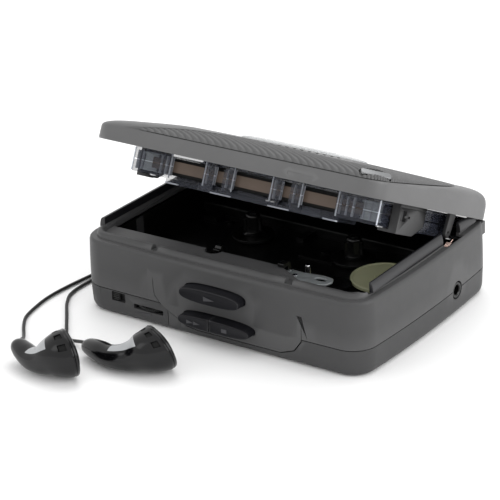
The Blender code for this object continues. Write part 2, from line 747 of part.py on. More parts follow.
def drive_train():
    shaft_top = GEAR_FLOOR + GEAR_THICK
    capstan = turned("capstan_shaft",
                     [(CAPSTAN_RADIUS, 4.0), (CAPSTAN_RADIUS, GEAR_FLOOR), (PINION_RADIUS, GEAR_FLOOR),
                                       (PINION_RADIUS, shaft_top), (CAPSTAN_RADIUS, shaft_top),
                                       (CAPSTAN_RADIUS, CAPSTAN_TOP - 0.2),
                                       (CAPSTAN_RADIUS - 0.25, CAPSTAN_TOP)], (*CAPSTAN, 0), "steel", 24)
    wheel_floor = DECK_FLOOR - 0.4 - FLYWHEEL_THICK
    flywheel = rod("flywheel", CAPSTAN, FLYWHEEL_RADIUS, wheel_floor, wheel_floor + 0.9, "brass", 40)
    join(flywheel,
         rod("belt_track", CAPSTAN, BELT_TRACK, wheel_floor + 0.5, wheel_floor + FLYWHEEL_THICK, sides=40))
    cut(flywheel, rod("flywheel_bore", CAPSTAN, CAPSTAN_RADIUS + 0.1, 0, 14))
    stub = DECK_FLOOR + 0.4
    idler = turned("idler_gear",
                   [(SHAFT_RADIUS, stub), (SHAFT_RADIUS, GEAR_FLOOR), (IDLER_RADIUS, GEAR_FLOOR),
                    (IDLER_RADIUS, shaft_top),
                                  (1.8, shaft_top), (1.6, shaft_top + 0.4)], (*IDLER, 0), "black", 32)
    drive = turned("drive_gear",
                   [(SHAFT_RADIUS, stub), (SHAFT_RADIUS, GEAR_FLOOR), (DRIVE_RADIUS, GEAR_FLOOR),
                    (DRIVE_RADIUS, shaft_top),
                                  (2.4, shaft_top), (2.2, shaft_top + 0.6)], (*DRIVE_GEAR, 0), "cream", 48)
    pulley_floor = wheel_floor + 0.9
    pulley = turned("motor_pulley", [(PULLEY_RADIUS, pulley_floor), (PULLEY_RADIUS, DECK_FLOOR - 0.5)],
                    (*MOTOR, 0), "brass", 20)
    motor = turned("motor",
                   [(MOTOR_RADIUS - 0.5, WALL + 0.4), (MOTOR_RADIUS, WALL + 0.9),
                    (MOTOR_RADIUS, pulley_floor - 0.9),
                             (MOTOR_RADIUS - 0.5, pulley_floor - 0.4)], (*MOTOR, 0), "steel", 28)
    belt = slab("drive_belt", [belt_loop(BELT_THICK + 0.15), belt_loop(0.15)], wheel_floor + 1.3,
                wheel_floor + 2.4, "rubber")
    return capstan, flywheel, idler, drive, pulley, motor, belt


def belt_loop(grow):
    """Outline of a belt round the flywheel's track and the motor's pulley, grown outwards."""
    big, small = BELT_TRACK + grow, PULLEY_RADIUS + grow
    a, b = Vector(CAPSTAN), Vector(MOTOR)
    along = b - a
    lean = math.atan2(along.y, along.x)
    spread = math.acos((big - small) / along.length)
    points = []
    for i in range(19):
        turn = lean + spread + (2 * math.pi - 2 * spread) * i / 18
        points.append((a.x + big * math.cos(turn), a.y + big * math.sin(turn)))
    for i in range(9):
        turn = lean - spread + 2 * spread * i / 8
        points.append((b.x + small * math.cos(turn), b.y + small * math.sin(turn)))
    return points


def spindle(name, x, wheel_radius):
    stub = DECK_FLOOR + 0.4
    top = GEAR_FLOOR + GEAR_THICK
    profile = [(SHAFT_RADIUS, stub), (SHAFT_RADIUS, GEAR_FLOOR), (wheel_radius, GEAR_FLOOR),
               (wheel_radius, top), (SPINDLE_RADIUS, top),
               (SPINDLE_RADIUS, SPINDLE_TOP - 1.6), (1.5, SPINDLE_TOP)]
    post = turned(name, profile, (x, HUB_Y, 0), "black", 24)
    for i in range(3):
        fin = box(f"{name}_fin_{i}", (0, -0.5, THIN_FLOOR - 0.6),
                  (SPINDLE_RADIUS + 0.9, 0.5, SPINDLE_TOP - 1.9))
        fin.location = (x * MM, HUB_Y * MM, 0)
        fin.rotation_euler.z = i * 2 * math.pi / 3
        join(post, fin)
    return post


def head_plate():
    plate = slab("head_plate", rectangle((-34, -33.5), (34, -29.6), 1.0), GEAR_FLOOR, GEAR_FLOOR + 1.0,
                 "zinc")
    head = box("playback_head", (-HEAD_WIDTH / 2, HEAD_REST - 5.4, 19.5),
               (HEAD_WIDTH / 2, HEAD_REST, 24.7), "steel", 0.4)
    join(head,
         box("head_mount", (-HEAD_WIDTH / 2, HEAD_REST - 7.4, GEAR_FLOOR + 1.0 + GAP),
             (HEAD_WIDTH / 2, HEAD_REST - 4.5, 20.3)))
    return plate, head


def pinch_roller():
    low, high = 19.4, ARM_HEIGHT - GAP
    x = CAPSTAN[0]
    roller = rod("pinch_roller", (x, ROLLER_REST), ROLLER_RADIUS, low, high, "rubber", 24)
    outline = [(18.6, -30.6), (20.2, -32.4), (27.7, -32.8), (32.2, -32.9), (36.4, -31.4), (37.4, -28.6),
               (36.2, -25.9), (32.0, -25.4),
               (25.4, -26.6), (20.0, -26.4), (18.6, -27.6)]
    hole = [(33.0 + 2.2 * math.cos(t), -28.6 + 1.1 * math.sin(t))
            for t in [i * math.pi / 8 for i in range(16)]]
    arm = slab("pinch_arm", [rounded(outline, 1.0, 2), hole], ARM_HEIGHT, ARM_HEIGHT + ARM_THICK, "zinc")
    return arm, roller


# ---------------------------------------------------------------- lid

def crowned(points, crown=LID_CROWN):
    """The lid's top rises by crown in its middle and falls away towards its front left end."""
    moved = []
    for x, y, z in points:
        outward = min((x / HALF_LENGTH) ** 2 + (y / HALF_DEPTH) ** 2, 1.0)
        leftward = max(-36.0 - 0.824 * x - 0.566 * y, 0.0) / 32.0
        rise = crown * (1 - outward) - LID_FALL * leftward ** 1.5
        above = max(z - LID_SHOULDER, 0.0)
        moved.append((x, y, z + above * rise / (LID_TOP - LID_SHOULDER)))
    return moved


def lid_form(name, inset, drop, look=None):
    """The lid's outer form, drawn in by inset and with its top lowered by drop."""
    levels = [(0.7, LID_FLOOR), (0.5, LID_FLOOR + 0.5), (0.6, 31.5), (1.1, 33.6), (2.0, 34.9), (3.4, 35.8),
              (5.4, 36.4), (9.0, LID_TOP), (16.0, LID_TOP), (24.0, LID_TOP), (31.0, LID_TOP), (36.0, LID_TOP)]
    return loft(name, [crowned(body_outline(edge + inset, height - drop)) for edge, height in levels], look)


def lid_cover():
    cover = lid_form("lid_cover", 0.0, 0.0, "lid")
    inner = [(0.5 + LID_WALL, LID_FLOOR - 2), (0.6 + LID_WALL, 32.0), (1.8 + LID_WALL, 33.4),
             (4.2 + LID_WALL, 34.4), (16.0, 34.4), (24.0, 34.4), (31.0, 34.4), (36.0, 34.4)]
    cut(cover, loft("lid_hollow", [crowned(body_outline(inset, height), 0.0) for inset, height in inner]))
    recess = inlay_prism("inlay_recess", GAP / 2)
    cut(recess, lid_form("inlay_recess_core", INLAY_THICK + GAP / 2, INLAY_THICK + GAP / 2))
    cut(cover, recess)
    half_x, half_y = WINDOW_SIZE[0] / 2 + GAP / 2, WINDOW_SIZE[1] / 2 + GAP / 2
    x, y = WINDOW_PLACE
    cut(cover,
        slab("window_recess", rectangle((x - half_x, y - half_y), (x + half_x, y + half_y), 3.0),
             WINDOW_TOP - 1.0, WINDOW_TOP + 2))
    cut(cover,
        slab("window_hole",
             rectangle((x - half_x + 2, y - half_y + 2), (x + half_x - 2, y + half_y - 2), 2.0),
             LID_TOP - 4, WINDOW_TOP + 2))
    cut(cover, badge_block("badge_recess", GAP / 2, 0.8))
    for side, sign in (("left", -1), ("right", 1)):
        low, high = sorted((sign * 51.6, sign * (51.6 + EAR_THICK)))
        ear = slab(side + "_ear",
                   rounded([(HINGE[1] - 2.4, 21.9), (HINGE[1] + 2.4, 21.9), (HINGE[1] + 2.4, 35.2),
                            (HINGE[1] - 4.0, 35.2)], 1.6),
                   low, high, facing="X")
        join(cover, ear)
        cut(cover,
            rod(side + "_ear_hole", HINGE[1:], HINGE_PIN_RADIUS + RUNNING, low - 1, high + 1, axis="X",
                sides=16))
    return cover


def inlay_prism(name, grow):
    """Everything above the ribbed area's lower edge and inside its outline."""
    outline = [(x - grow, y + grow) for x, y in INLAY_EDGE] + [(62.0, 45.0), (62.0, -46.0),
                                                               (INLAY_EDGE[0][0] - grow, -46.0)]
    prism = slab(name, outline, 30.0, 45.0)
    low, high = INLAY_FLOOR
    under = [(-60, 20), (60, 20), (60, high - grow), (-HALF_DEPTH, low - grow), (-60, low - grow)]
    return cut(prism, slab(name + "_floor", under, -70, 70, facing="X"))


def badge_block(name, grow, depth, look=None):
    """A small lozenge laid on the rounding at the lid's front right corner."""
    length, width, proud = BADGE_SIZE
    ends = rectangle((-length / 2 - grow, -width / 2 - grow), (length / 2 + grow, width / 2 + grow),
                     width / 2, 3)
    block = slab(name, ends, -depth, proud if look else 3.0, look)
    block.rotation_euler = (math.radians(BADGE_TILT), 0, math.radians(BADGE_TURN))
    block.location = Vector(BADGE_PLACE) * MM
    return block


def lid_trim():
    inlay = inlay_prism("lid_inlay", -GAP / 2)
    inlay.data.materials.append(material("lid_inlay", *LOOKS["inlay"]))
    keep_common(inlay, lid_form("inlay_skin", -0.1, -0.1))
    cut(inlay, lid_form("inlay_core", INLAY_THICK - 0.1, INLAY_THICK - 0.1))
    cut(inlay, badge_block("inlay_badge_gap", 2 * GAP, 2.0),
        slab("inlay_corner", circle((59.5, -43.5), 6.0), 30, 36.0))
    x, y = WINDOW_PLACE
    rings = []
    for shrink, height in ((0.0, WINDOW_TOP - 0.8), (0.0, WINDOW_TOP + 0.2), (0.8, WINDOW_TOP + 0.7),
                           (3.0, WINDOW_TOP + 1.1), (7.0, WINDOW_TOP + 1.4)):
        half_x, half_y = WINDOW_SIZE[0] / 2 - shrink, WINDOW_SIZE[1] / 2 - shrink
        rings.append([(*point, height)
                      for point in rectangle((x - half_x, y - half_y), (x + half_x, y + half_y), 3.0)])
    window = loft("lid_window", rings, "window")
    badge = badge_block("lid_badge", 0.0, 0.5, "zinc")
    return inlay, window, badge


def cassette_holder():
    """The tray in the lid that grips the cassette by its two ends."""
    top = 29.4
    holder = box("cassette_holder", (-52.1, -17.5, top), (52.1, 30.0, top + 1.0), "holder")
    cut(holder, box("holder_window", (-40, -10, top - 1), (40, 24, top + 3)))
    for x in (-46.0, 45.0):
        join(holder, box(f"holder_post_{int(x)}", (x - 2, -6, top + 0.5), (x + 2, 20, 34.1)))
    block = [(-17.5, 16.9), (-6.5, 16.9), (0.4, 20.4), (0.4, top + 0.5), (-17.5, top + 0.5)]
    join(holder, slab("right_block", block, 50.7, 53.8, facing="X"))
    join(holder, slab("left_block", block, -52.1, -50.7, facing="X"))
    join(holder, box("right_lip", (46.8, -17.5, 16.9), (51.2, -14.6, THIN_FLOOR - GAP)))
    join(holder, box("left_lip", (-51.2, -17.5, 16.9), (-46.8, -14.6, THIN_FLOOR - GAP)))
    cut(holder, box("block_slot", (52.6, -16.6, 21.2), (54.5, -12.8, 24.8)))
    return holder


def lid_arm():
    arm = slab("lid_arm",
               rounded([(17.4, 19.4), (19.2, 18.2), (21.0, 19.8), (22.6, 29.0), (22.6, 33.6), (18.0, 33.6),
                        (18.0, 26.0)], 0.6, 2),
               52.4, 53.6, "holder", facing="X")
    cut(arm, rod("arm_eye", (19.2, 20.4), 0.5, 50, 56, axis="X", sides=10))
    return arm


def arm_spring():
    """The torsion spring that lifts the lid, on the right side of the well."""
    x0, pitch, radius, wire = 54.5, 0.5, 1.7, 0.26
    y, z = 16.4, 24.4
    points = [(x0, y + 4.4, z + 1.2), (x0, y + radius, z)]
    for i in range(1, 33):
        turn = 2 * math.pi * i / 8
        points.append((x0 + pitch * i / 8, y + radius * math.cos(turn), z + radius * math.sin(turn)))
    return tube("arm_spring", points, wire, "copper", 0)


# ---------------------------------------------------------------- cassette

def cassette_outline():
    back = TAPE_FRONT + TAPE_DEPTH
    half = TAPE_LENGTH / 2
    return rounded([(-half, TAPE_FRONT), (half, TAPE_FRONT), (half, back), (-half, back)], 1.6, 3)


def thick_outline():
    """The raised stretch along the tape edge."""
    return [(-35.0, TAPE_FRONT), (35.0, TAPE_FRONT), (32.6, TAPE_FRONT + 17.5), (-32.6, TAPE_FRONT + 17.5)]


def cassette_shell(name, side):
    """One half of the cassette's shell; side is -1 for the lower and 1 for the upper."""
    seam = TAPE_MIDDLE + side * GAP / 2
    face = TAPE_MIDDLE + side * TAPE_THIN / 2
    thick_face = TAPE_MIDDLE + side * TAPE_THICK / 2
    shell = slab(name, cassette_outline(), *sorted((seam, face)), "clear")
    join(shell, slab(name + "_thick", thick_outline(), *sorted((seam + side * 0.5, thick_face))))
    wall = TAPE_SHELL
    half = TAPE_LENGTH / 2 - wall
    room = rectangle((-half, TAPE_FRONT + wall), (half, TAPE_FRONT + TAPE_DEPTH - wall))
    cut(shell, slab(name + "_room", room, *sorted((seam - side, face - side * wall))))
    for x in (-HUB_X, HUB_X):
        cut(shell,
            rod(f"{name}_hub_hole_{int(x)}", (x, HUB_Y), HUB_BORE + 0.9, *sorted((seam, face + side * 2)),
                sides=20))
    for x in (-CAPSTAN[0], CAPSTAN[0]):
        cut(shell,
            rod(f"{name}_capstan_hole_{int(x)}", (x, CAPSTAN[1]), 3.1, *sorted((seam, thick_face + side)),
                sides=14))
    for key, low, high in (("head", -7.5, 7.5), ("left", -33.5, -17.0), ("right", 17.0, 33.5),
                           ("left_guide", -15.4, -11.8), ("right_guide", 11.8, 15.4)):
        cut(shell,
            box(f"{name}_{key}_window", (low, TAPE_FRONT - 2, TAPE_MIDDLE - 4.7),
                (high, TAPE_FRONT + wall + 1, TAPE_MIDDLE + 4.7)))
    return shell


def reel(name, x, pack):
    """A hub with the tape wound on it."""
    low, high = TAPE_MIDDLE - 1.9, TAPE_MIDDLE + 1.9
    wheel = rod(name, (x, HUB_Y), pack, low, high, "tape", 40)
    join(wheel,
         rod(name + "_hub", (x, HUB_Y), HUB_BORE + 1.2, TAPE_MIDDLE - 2.9, TAPE_MIDDLE + 2.9, sides=24))
    cut(wheel, rod(name + "_bore", (x, HUB_Y), HUB_BORE, TAPE_MIDDLE - 5, TAPE_MIDDLE + 5, sides=24))
    return wheel


# ---------------------------------------------------------------- earphones

def earbud(name, sections, facing):
    """A bud lying on the floor: round sections along a bent spine, from the stem's end to the speaker, which faces the last direction."""
    facing = Vector(facing).normalized()
    spine = [Vector(section[:3]) for section in sections]
    radii = [section[3] for section in sections]
    for onward, radius in ((1.7, radii[-1] - 0.4), (2.6, radii[-1] - 2.0), (3.0, 2.5)):
        spine.append(Vector(sections[-1][:3]) + facing * onward)
        radii.append(radius)
    rings = []
    last = len(sections) - 1
    for i, centre in enumerate(spine):
        ahead = spine[min(i + 1, last)] - spine[max(i - 1, 0)]
        blend = min(max((i - last + 4) / 4, 0.0), 1.0)
        normal = (ahead.normalized() * (1 - blend) + facing * blend).normalized()
        side = normal.cross(Vector((0, 0, 1))).normalized()
        up = side.cross(normal)
        ring = []
        for k in range(20):
            turn = 2 * math.pi * k / 20
            ring.append(centre + (side * math.cos(turn) + up * math.sin(turn)) * radii[i])
        rings.append(ring)
    return loft(name, rings, "gloss")


def earphone_leads():
    left = tube("left_lead", smooth_route(LEFT_ROUTE, 64), LEAD_RADIUS, "lead")
    right = tube("right_lead", smooth_route(RIGHT_ROUTE, 62), LEAD_RADIUS, "lead")
    splitter = box("lead_splitter", (-47.9, 63.6, 0.15), (-41.2, 68.2, 2.6), "lead", 0.5)
    outer, inner = COIL_MEAN + COIL_WIDE, COIL_MEAN - COIL_WIDE
    coil = slab("lead_coil", [circle(COIL_CENTRE, outer, 40), circle(COIL_CENTRE, inner, 40)], 0.05,
                COIL_HIGH, "lead")
    plug = turned("headphone_plug",
                  [(1.0, 0.0), (2.1, 1.0), (3.2, 8.0), (3.2, 18.0), (1.75, 18.4), (1.75, 31.0),
                   (0.8, 32.4)],
                  (-6.0, 60.0, 3.3), "lead", 16, "X")
    return left, right, splitter, coil, plug


# ---------------------------------------------------------------- the object

for old in list(bpy.data.objects):
    bpy.data.objects.remove(old)

PARTS = collection("cassette_player")
CUTTERS = collection("cutters")
LOOKS = {
    "casing": ((0.075, 0.075, 0.078), 0.42),
    "base": ((0.065, 0.065, 0.068), 0.45),
    "rail": ((0.03, 0.03, 0.033), 0.35),
    "lid": ((0.17, 0.17, 0.175), 0.4),
    "inlay": ((0.12, 0.12, 0.125), 0.4),
    "holder": ((0.09, 0.09, 0.092), 0.5),
    "black": ((0.008, 0.008, 0.009), 0.5),
    "button": ((0.012, 0.012, 0.018), 0.3),
    "rubber": ((0.015, 0.015, 0.015), 0.8),
    "cream": ((0.72, 0.72, 0.60), 0.4),
    "steel": ((0.6, 0.6, 0.61), 0.25, 1.0),
    "zinc": ((0.75, 0.75, 0.74), 0.3, 1.0),
    "brass": ((0.7, 0.55, 0.3), 0.3, 1.0),
    "copper": ((0.75, 0.5, 0.42), 0.3, 1.0),
    "battery": ((0.25, 0.25, 0.27), 0.35, 0.6),
    "window": ((0.5, 0.52, 0.53), 0.1),
    "clear": ((0.62, 0.64, 0.65), 0.12),
    "tape": ((0.05, 0.025, 0.018), 0.35),
    "gloss": ((0.012, 0.012, 0.013), 0.15),
    "lead": ((0.01, 0.01, 0.01), 0.5),
}
SCREWS = [(-50.0, -36.0), (50.0, -36.0), (0.0, 19.0)]
reach = math.dist(CAPSTAN, DRIVE_GEAR)
IDLER_STEP = (PINION_RADIUS + MESH + IDLER_RADIUS) / reach
IDLER = tuple(a + (b - a) * IDLER_STEP for a, b in zip(CAPSTAN, DRIVE_GEAR))
TAKE_UP_RADIUS = math.dist((HUB_X, HUB_Y), DRIVE_GEAR) - DRIVE_RADIUS - MESH

top_casing()
base_cover()
deck_plate()
side_rail("left_rail", -53.6, -RAIL_OUTSIDE, -32.8, 34.6)
side_rail("right_front_rail", 54.2, RAIL_OUTSIDE, -32.8, 12.4)
side_rail("right_rear_rail", 54.2, RAIL_OUTSIDE, 23.8, 34.6)
cassette_stops()
for letter, (x, y) in zip("123", SCREWS):
    base_screw("base_screw_" + letter, x, y)
battery("battery_1", -BATTERY_LENGTH - 0.2)
battery("battery_2", 0.2)
battery_contacts()
headphone_jack()
box("circuit_board", (-53.0, -32.0, 2.4), (-33.0, 20.0, 3.8), "black")
box("button_bracket", (-15.0, -35.0, 2.2), (18.0, -34.2, DECK_FLOOR - GAP), "zinc")
for side, sign in (("left", -1), ("right", 1)):
    low, high = sorted((sign * 51.4, sign * 56.0))
    rod(side + "_hinge_pin", HINGE[1:], HINGE_PIN_RADIUS, low, high, "steel", 16, "X")
arm_spring()

door_axis = axis_empty("battery_door_slide", (0, DOOR_FRONT, 0))
hang(door_axis, battery_door())

press = axis_empty("play_slide", (PLAY[0], -HALF_DEPTH, PLAY[1]))
hang(press, play_button())
spring_front = -HALF_DEPTH + WALL + GAP + BUTTON_SKIRT + GAP
coil_spring("play_spring", -8.0, PLAY[1], spring_front, -34.4)
for name, side, x in (("fast_forward_button", -1, -7.0), ("stop_button", 1, 7.5)):
    press = axis_empty(name.replace("_button", "_slide"), (x, -HALF_DEPTH, LOWER[1]))
    hang(press, lower_button(name, side))
    coil_spring(name.replace("_button", "_spring"), x, LOWER[1], spring_front, -35.3)

wheel, wheel_place = volume_wheel()
hang(axis_empty("volume_turn", wheel_place), wheel)
hang(axis_empty("band_slide", (SWITCH[0], -HALF_DEPTH, SWITCH[1])), band_switch())

capstan_shaft, fly, idler_gear, drive_gear, motor_pulley, _, _ = drive_train()
hang(axis_empty("flywheel_spin", (*CAPSTAN, 0)), capstan_shaft, fly)
hang(axis_empty("idler_spin", (*IDLER, 0)), idler_gear)
hang(axis_empty("drive_gear_spin", (*DRIVE_GEAR, 0)), drive_gear)
hang(axis_empty("motor_spin", (*MOTOR, 0)), motor_pulley)
hang(axis_empty("left_spindle_spin", (-HUB_X, HUB_Y, 0)), spindle("left_spindle", -HUB_X, TAKE_UP_RADIUS))
hang(axis_empty("right_spindle_spin", (HUB_X, HUB_Y, 0)), spindle("right_spindle", HUB_X, TAKE_UP_RADIUS))

hang(axis_empty("head_slide", (0, HEAD_REST, GEAR_FLOOR)), *head_plate())
pinch_arm, roller = pinch_roller()
hang(axis_empty("pinch_turn", (*ARM_PIVOT, ARM_HEIGHT)), pinch_arm)
hang(axis_empty("roller_spin", (CAPSTAN[0], ROLLER_REST, ARM_HEIGHT)), roller)

lid_axis = axis_empty("lid_hinge", HINGE)
hang(lid_axis, lid_cover(), *lid_trim(), cassette_holder(), lid_arm())
hang(lid_axis, cassette_shell("cassette_lower_shell", -1), cassette_shell("cassette_upper_shell", 1))
hang(lid_axis, reel("left_reel", -HUB_X, LEFT_PACK), reel("right_reel", HUB_X, RIGHT_PACK))
lid_axis.rotation_euler.x = -math.radians(LID_ANGLE)

earbud("left_earbud", LEFT_BUD, (0.53, 0.84, 0.12))
earbud("right_earbud", RIGHT_BUD, (0.38, 0.86, 0.34))
earphone_leads()
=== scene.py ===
"""Looks of the cassette player: every visible surface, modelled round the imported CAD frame.

Lengths are in millimetres and angles in degrees; MM turns lengths into metres. Pieces of the lid and of the
cassette are modelled with the lid closed and then swung open by on_lid().
"""

import math

import bmesh
import bpy
from mathutils import Matrix, Vector


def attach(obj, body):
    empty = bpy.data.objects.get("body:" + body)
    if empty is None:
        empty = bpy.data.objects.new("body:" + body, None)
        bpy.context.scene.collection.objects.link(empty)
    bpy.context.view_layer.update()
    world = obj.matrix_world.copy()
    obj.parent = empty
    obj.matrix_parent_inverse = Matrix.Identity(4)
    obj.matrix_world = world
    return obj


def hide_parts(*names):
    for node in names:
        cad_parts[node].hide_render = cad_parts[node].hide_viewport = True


MM = 0.001

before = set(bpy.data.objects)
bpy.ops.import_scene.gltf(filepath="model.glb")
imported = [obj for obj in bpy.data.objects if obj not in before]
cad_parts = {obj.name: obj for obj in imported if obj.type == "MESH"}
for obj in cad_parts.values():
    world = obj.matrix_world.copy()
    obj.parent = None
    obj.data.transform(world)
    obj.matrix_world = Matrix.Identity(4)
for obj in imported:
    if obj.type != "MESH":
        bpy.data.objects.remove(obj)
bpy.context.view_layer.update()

# Body
HALF_LENGTH = 59.0
HALF_DEPTH = 43.3
CORNER = 9.0
END_BULGE = 1.2
LONG_BULGE = 0.35
WALL = 1.8
SPLIT = 9.6
STRIP = 27.0
STRIP_THICK = 1.2
DECK_TOP = 14.0
DECK_FLOOR = 12.6
# Lid
LID_ANGLE = 25.45
HINGE = (37.4, 24.4)
LID_FLOOR = 26.9
LID_TOP = 36.8
LID_SHOULDER = 31.5
LID_CROWN = 0.9
LID_FALL = 3.4
WINDOW_TOP = 37.5
# Cassette
TAPE_FRONT = -24.5
TAPE_BACK = 39.3
TAPE_HALF = 50.2
SEAM = 22.5
THIN = 4.35
THICK = 6.0
HUB = (21.25, 10.3)
CAPSTAN = (21.25, -18.7)


# ---------------------------------------------------------------- camera

def add_camera():
    azimuth, elevation, roll = math.radians(34.48), math.radians(24.0), math.radians(-1.94)
    back = Vector((math.sin(azimuth) * math.cos(elevation), -math.cos(azimuth) * math.cos(elevation),
        math.sin(elevation)))
    right = Vector((math.cos(azimuth), math.sin(azimuth), 0))
    up = back.cross(right)
    across = right * math.cos(roll) + up * math.sin(roll)
    upward = up * math.cos(roll) - right * math.sin(roll)
    place = Matrix((across, upward, back)).transposed().to_4x4()
    place.translation = Vector((398.4, -580.0, 328.2)) * MM
    data = bpy.data.cameras.new("camera")
    data.lens = 159.1
    data.shift_x = -0.074
    data.shift_y = 0.0148
    data.clip_start = 0.02
    camera = bpy.data.objects.new("camera", data)
    camera.matrix_world = place
    bpy.context.scene.collection.objects.link(camera)
    bpy.context.scene.camera = camera


# ---------------------------------------------------------------- materials

def material(name, colour, roughness, metallic=0.0, grain=None, mottle=0.0, wear=0.0, **sockets):
    """Principled surface with a fine grain, slow changes in gloss and colour, and paler worn edges."""
    made = bpy.data.materials.new(name)
    made.use_nodes = True
    nodes, links = made.node_tree.nodes, made.node_tree.links
    shader = nodes["Principled BSDF"]
    shader.inputs["Base Color"].default_value = (*colour, 1)
    shader.inputs["Roughness"].default_value = roughness
    shader.inputs["Metallic"].default_value = metallic
    for socket, value in sockets.items():
        shader.inputs[socket.replace("_", " ")].default_value = value
    place = nodes.new("ShaderNodeTexCoord").outputs["Object"]

    def noise(scale, detail):
        texture = nodes.new("ShaderNodeTexNoise")
        texture.inputs["Scale"].default_value = scale
        texture.inputs["Detail"].default_value = detail
        links.new(place, texture.inputs["Vector"])
        return texture.outputs["Fac"]

    def ramp(source, low, high, colours):
        stops = nodes.new("ShaderNodeValToRGB")
        stops.color_ramp.elements[0].position = low
        stops.color_ramp.elements[1].position = high
        stops.color_ramp.elements[0].color = (*colours[0], 1)
        stops.color_ramp.elements[1].color = (*colours[1], 1)
        links.new(source, stops.inputs["Fac"])
        return stops.outputs["Color"]

    spread = 1 + mottle
    slow = ramp(noise(90, 4), 0.3, 0.7, [[c / spread for c in colour], [min(c * spread, 1) for c in colour]])
    if wear:
        edges = ramp(nodes.new("ShaderNodeNewGeometry").outputs["Pointiness"], 0.53, 0.62,
            [(0, 0, 0), (1, 1, 1)])
        mix = nodes.new("ShaderNodeMix")
        mix.data_type = "RGBA"
        mix.inputs[7].default_value = (*[min(c + wear, 1) for c in colour], 1)
        links.new(edges, mix.inputs[0])
        links.new(slow, mix.inputs[6])
        slow = mix.outputs[2]
    links.new(slow, shader.inputs["Base Color"])
    gloss = nodes.new("ShaderNodeMapRange")
    gloss.inputs["To Min"].default_value = roughness * 0.88
    gloss.inputs["To Max"].default_value = min(roughness * 1.14, 1)
    links.new(noise(240, 3), gloss.inputs["Value"])
    links.new(gloss.outputs["Result"], shader.inputs["Roughness"])
    if grain:
        scale, height = grain
        bump = nodes.new("ShaderNodeBump")
        bump.inputs["Strength"].default_value = 0.6
        bump.inputs["Distance"].default_value = height * MM
        links.new(noise(scale, 2), bump.inputs["Height"])
        links.new(bump.outputs["Normal"], shader.inputs["Normal"])
    return made


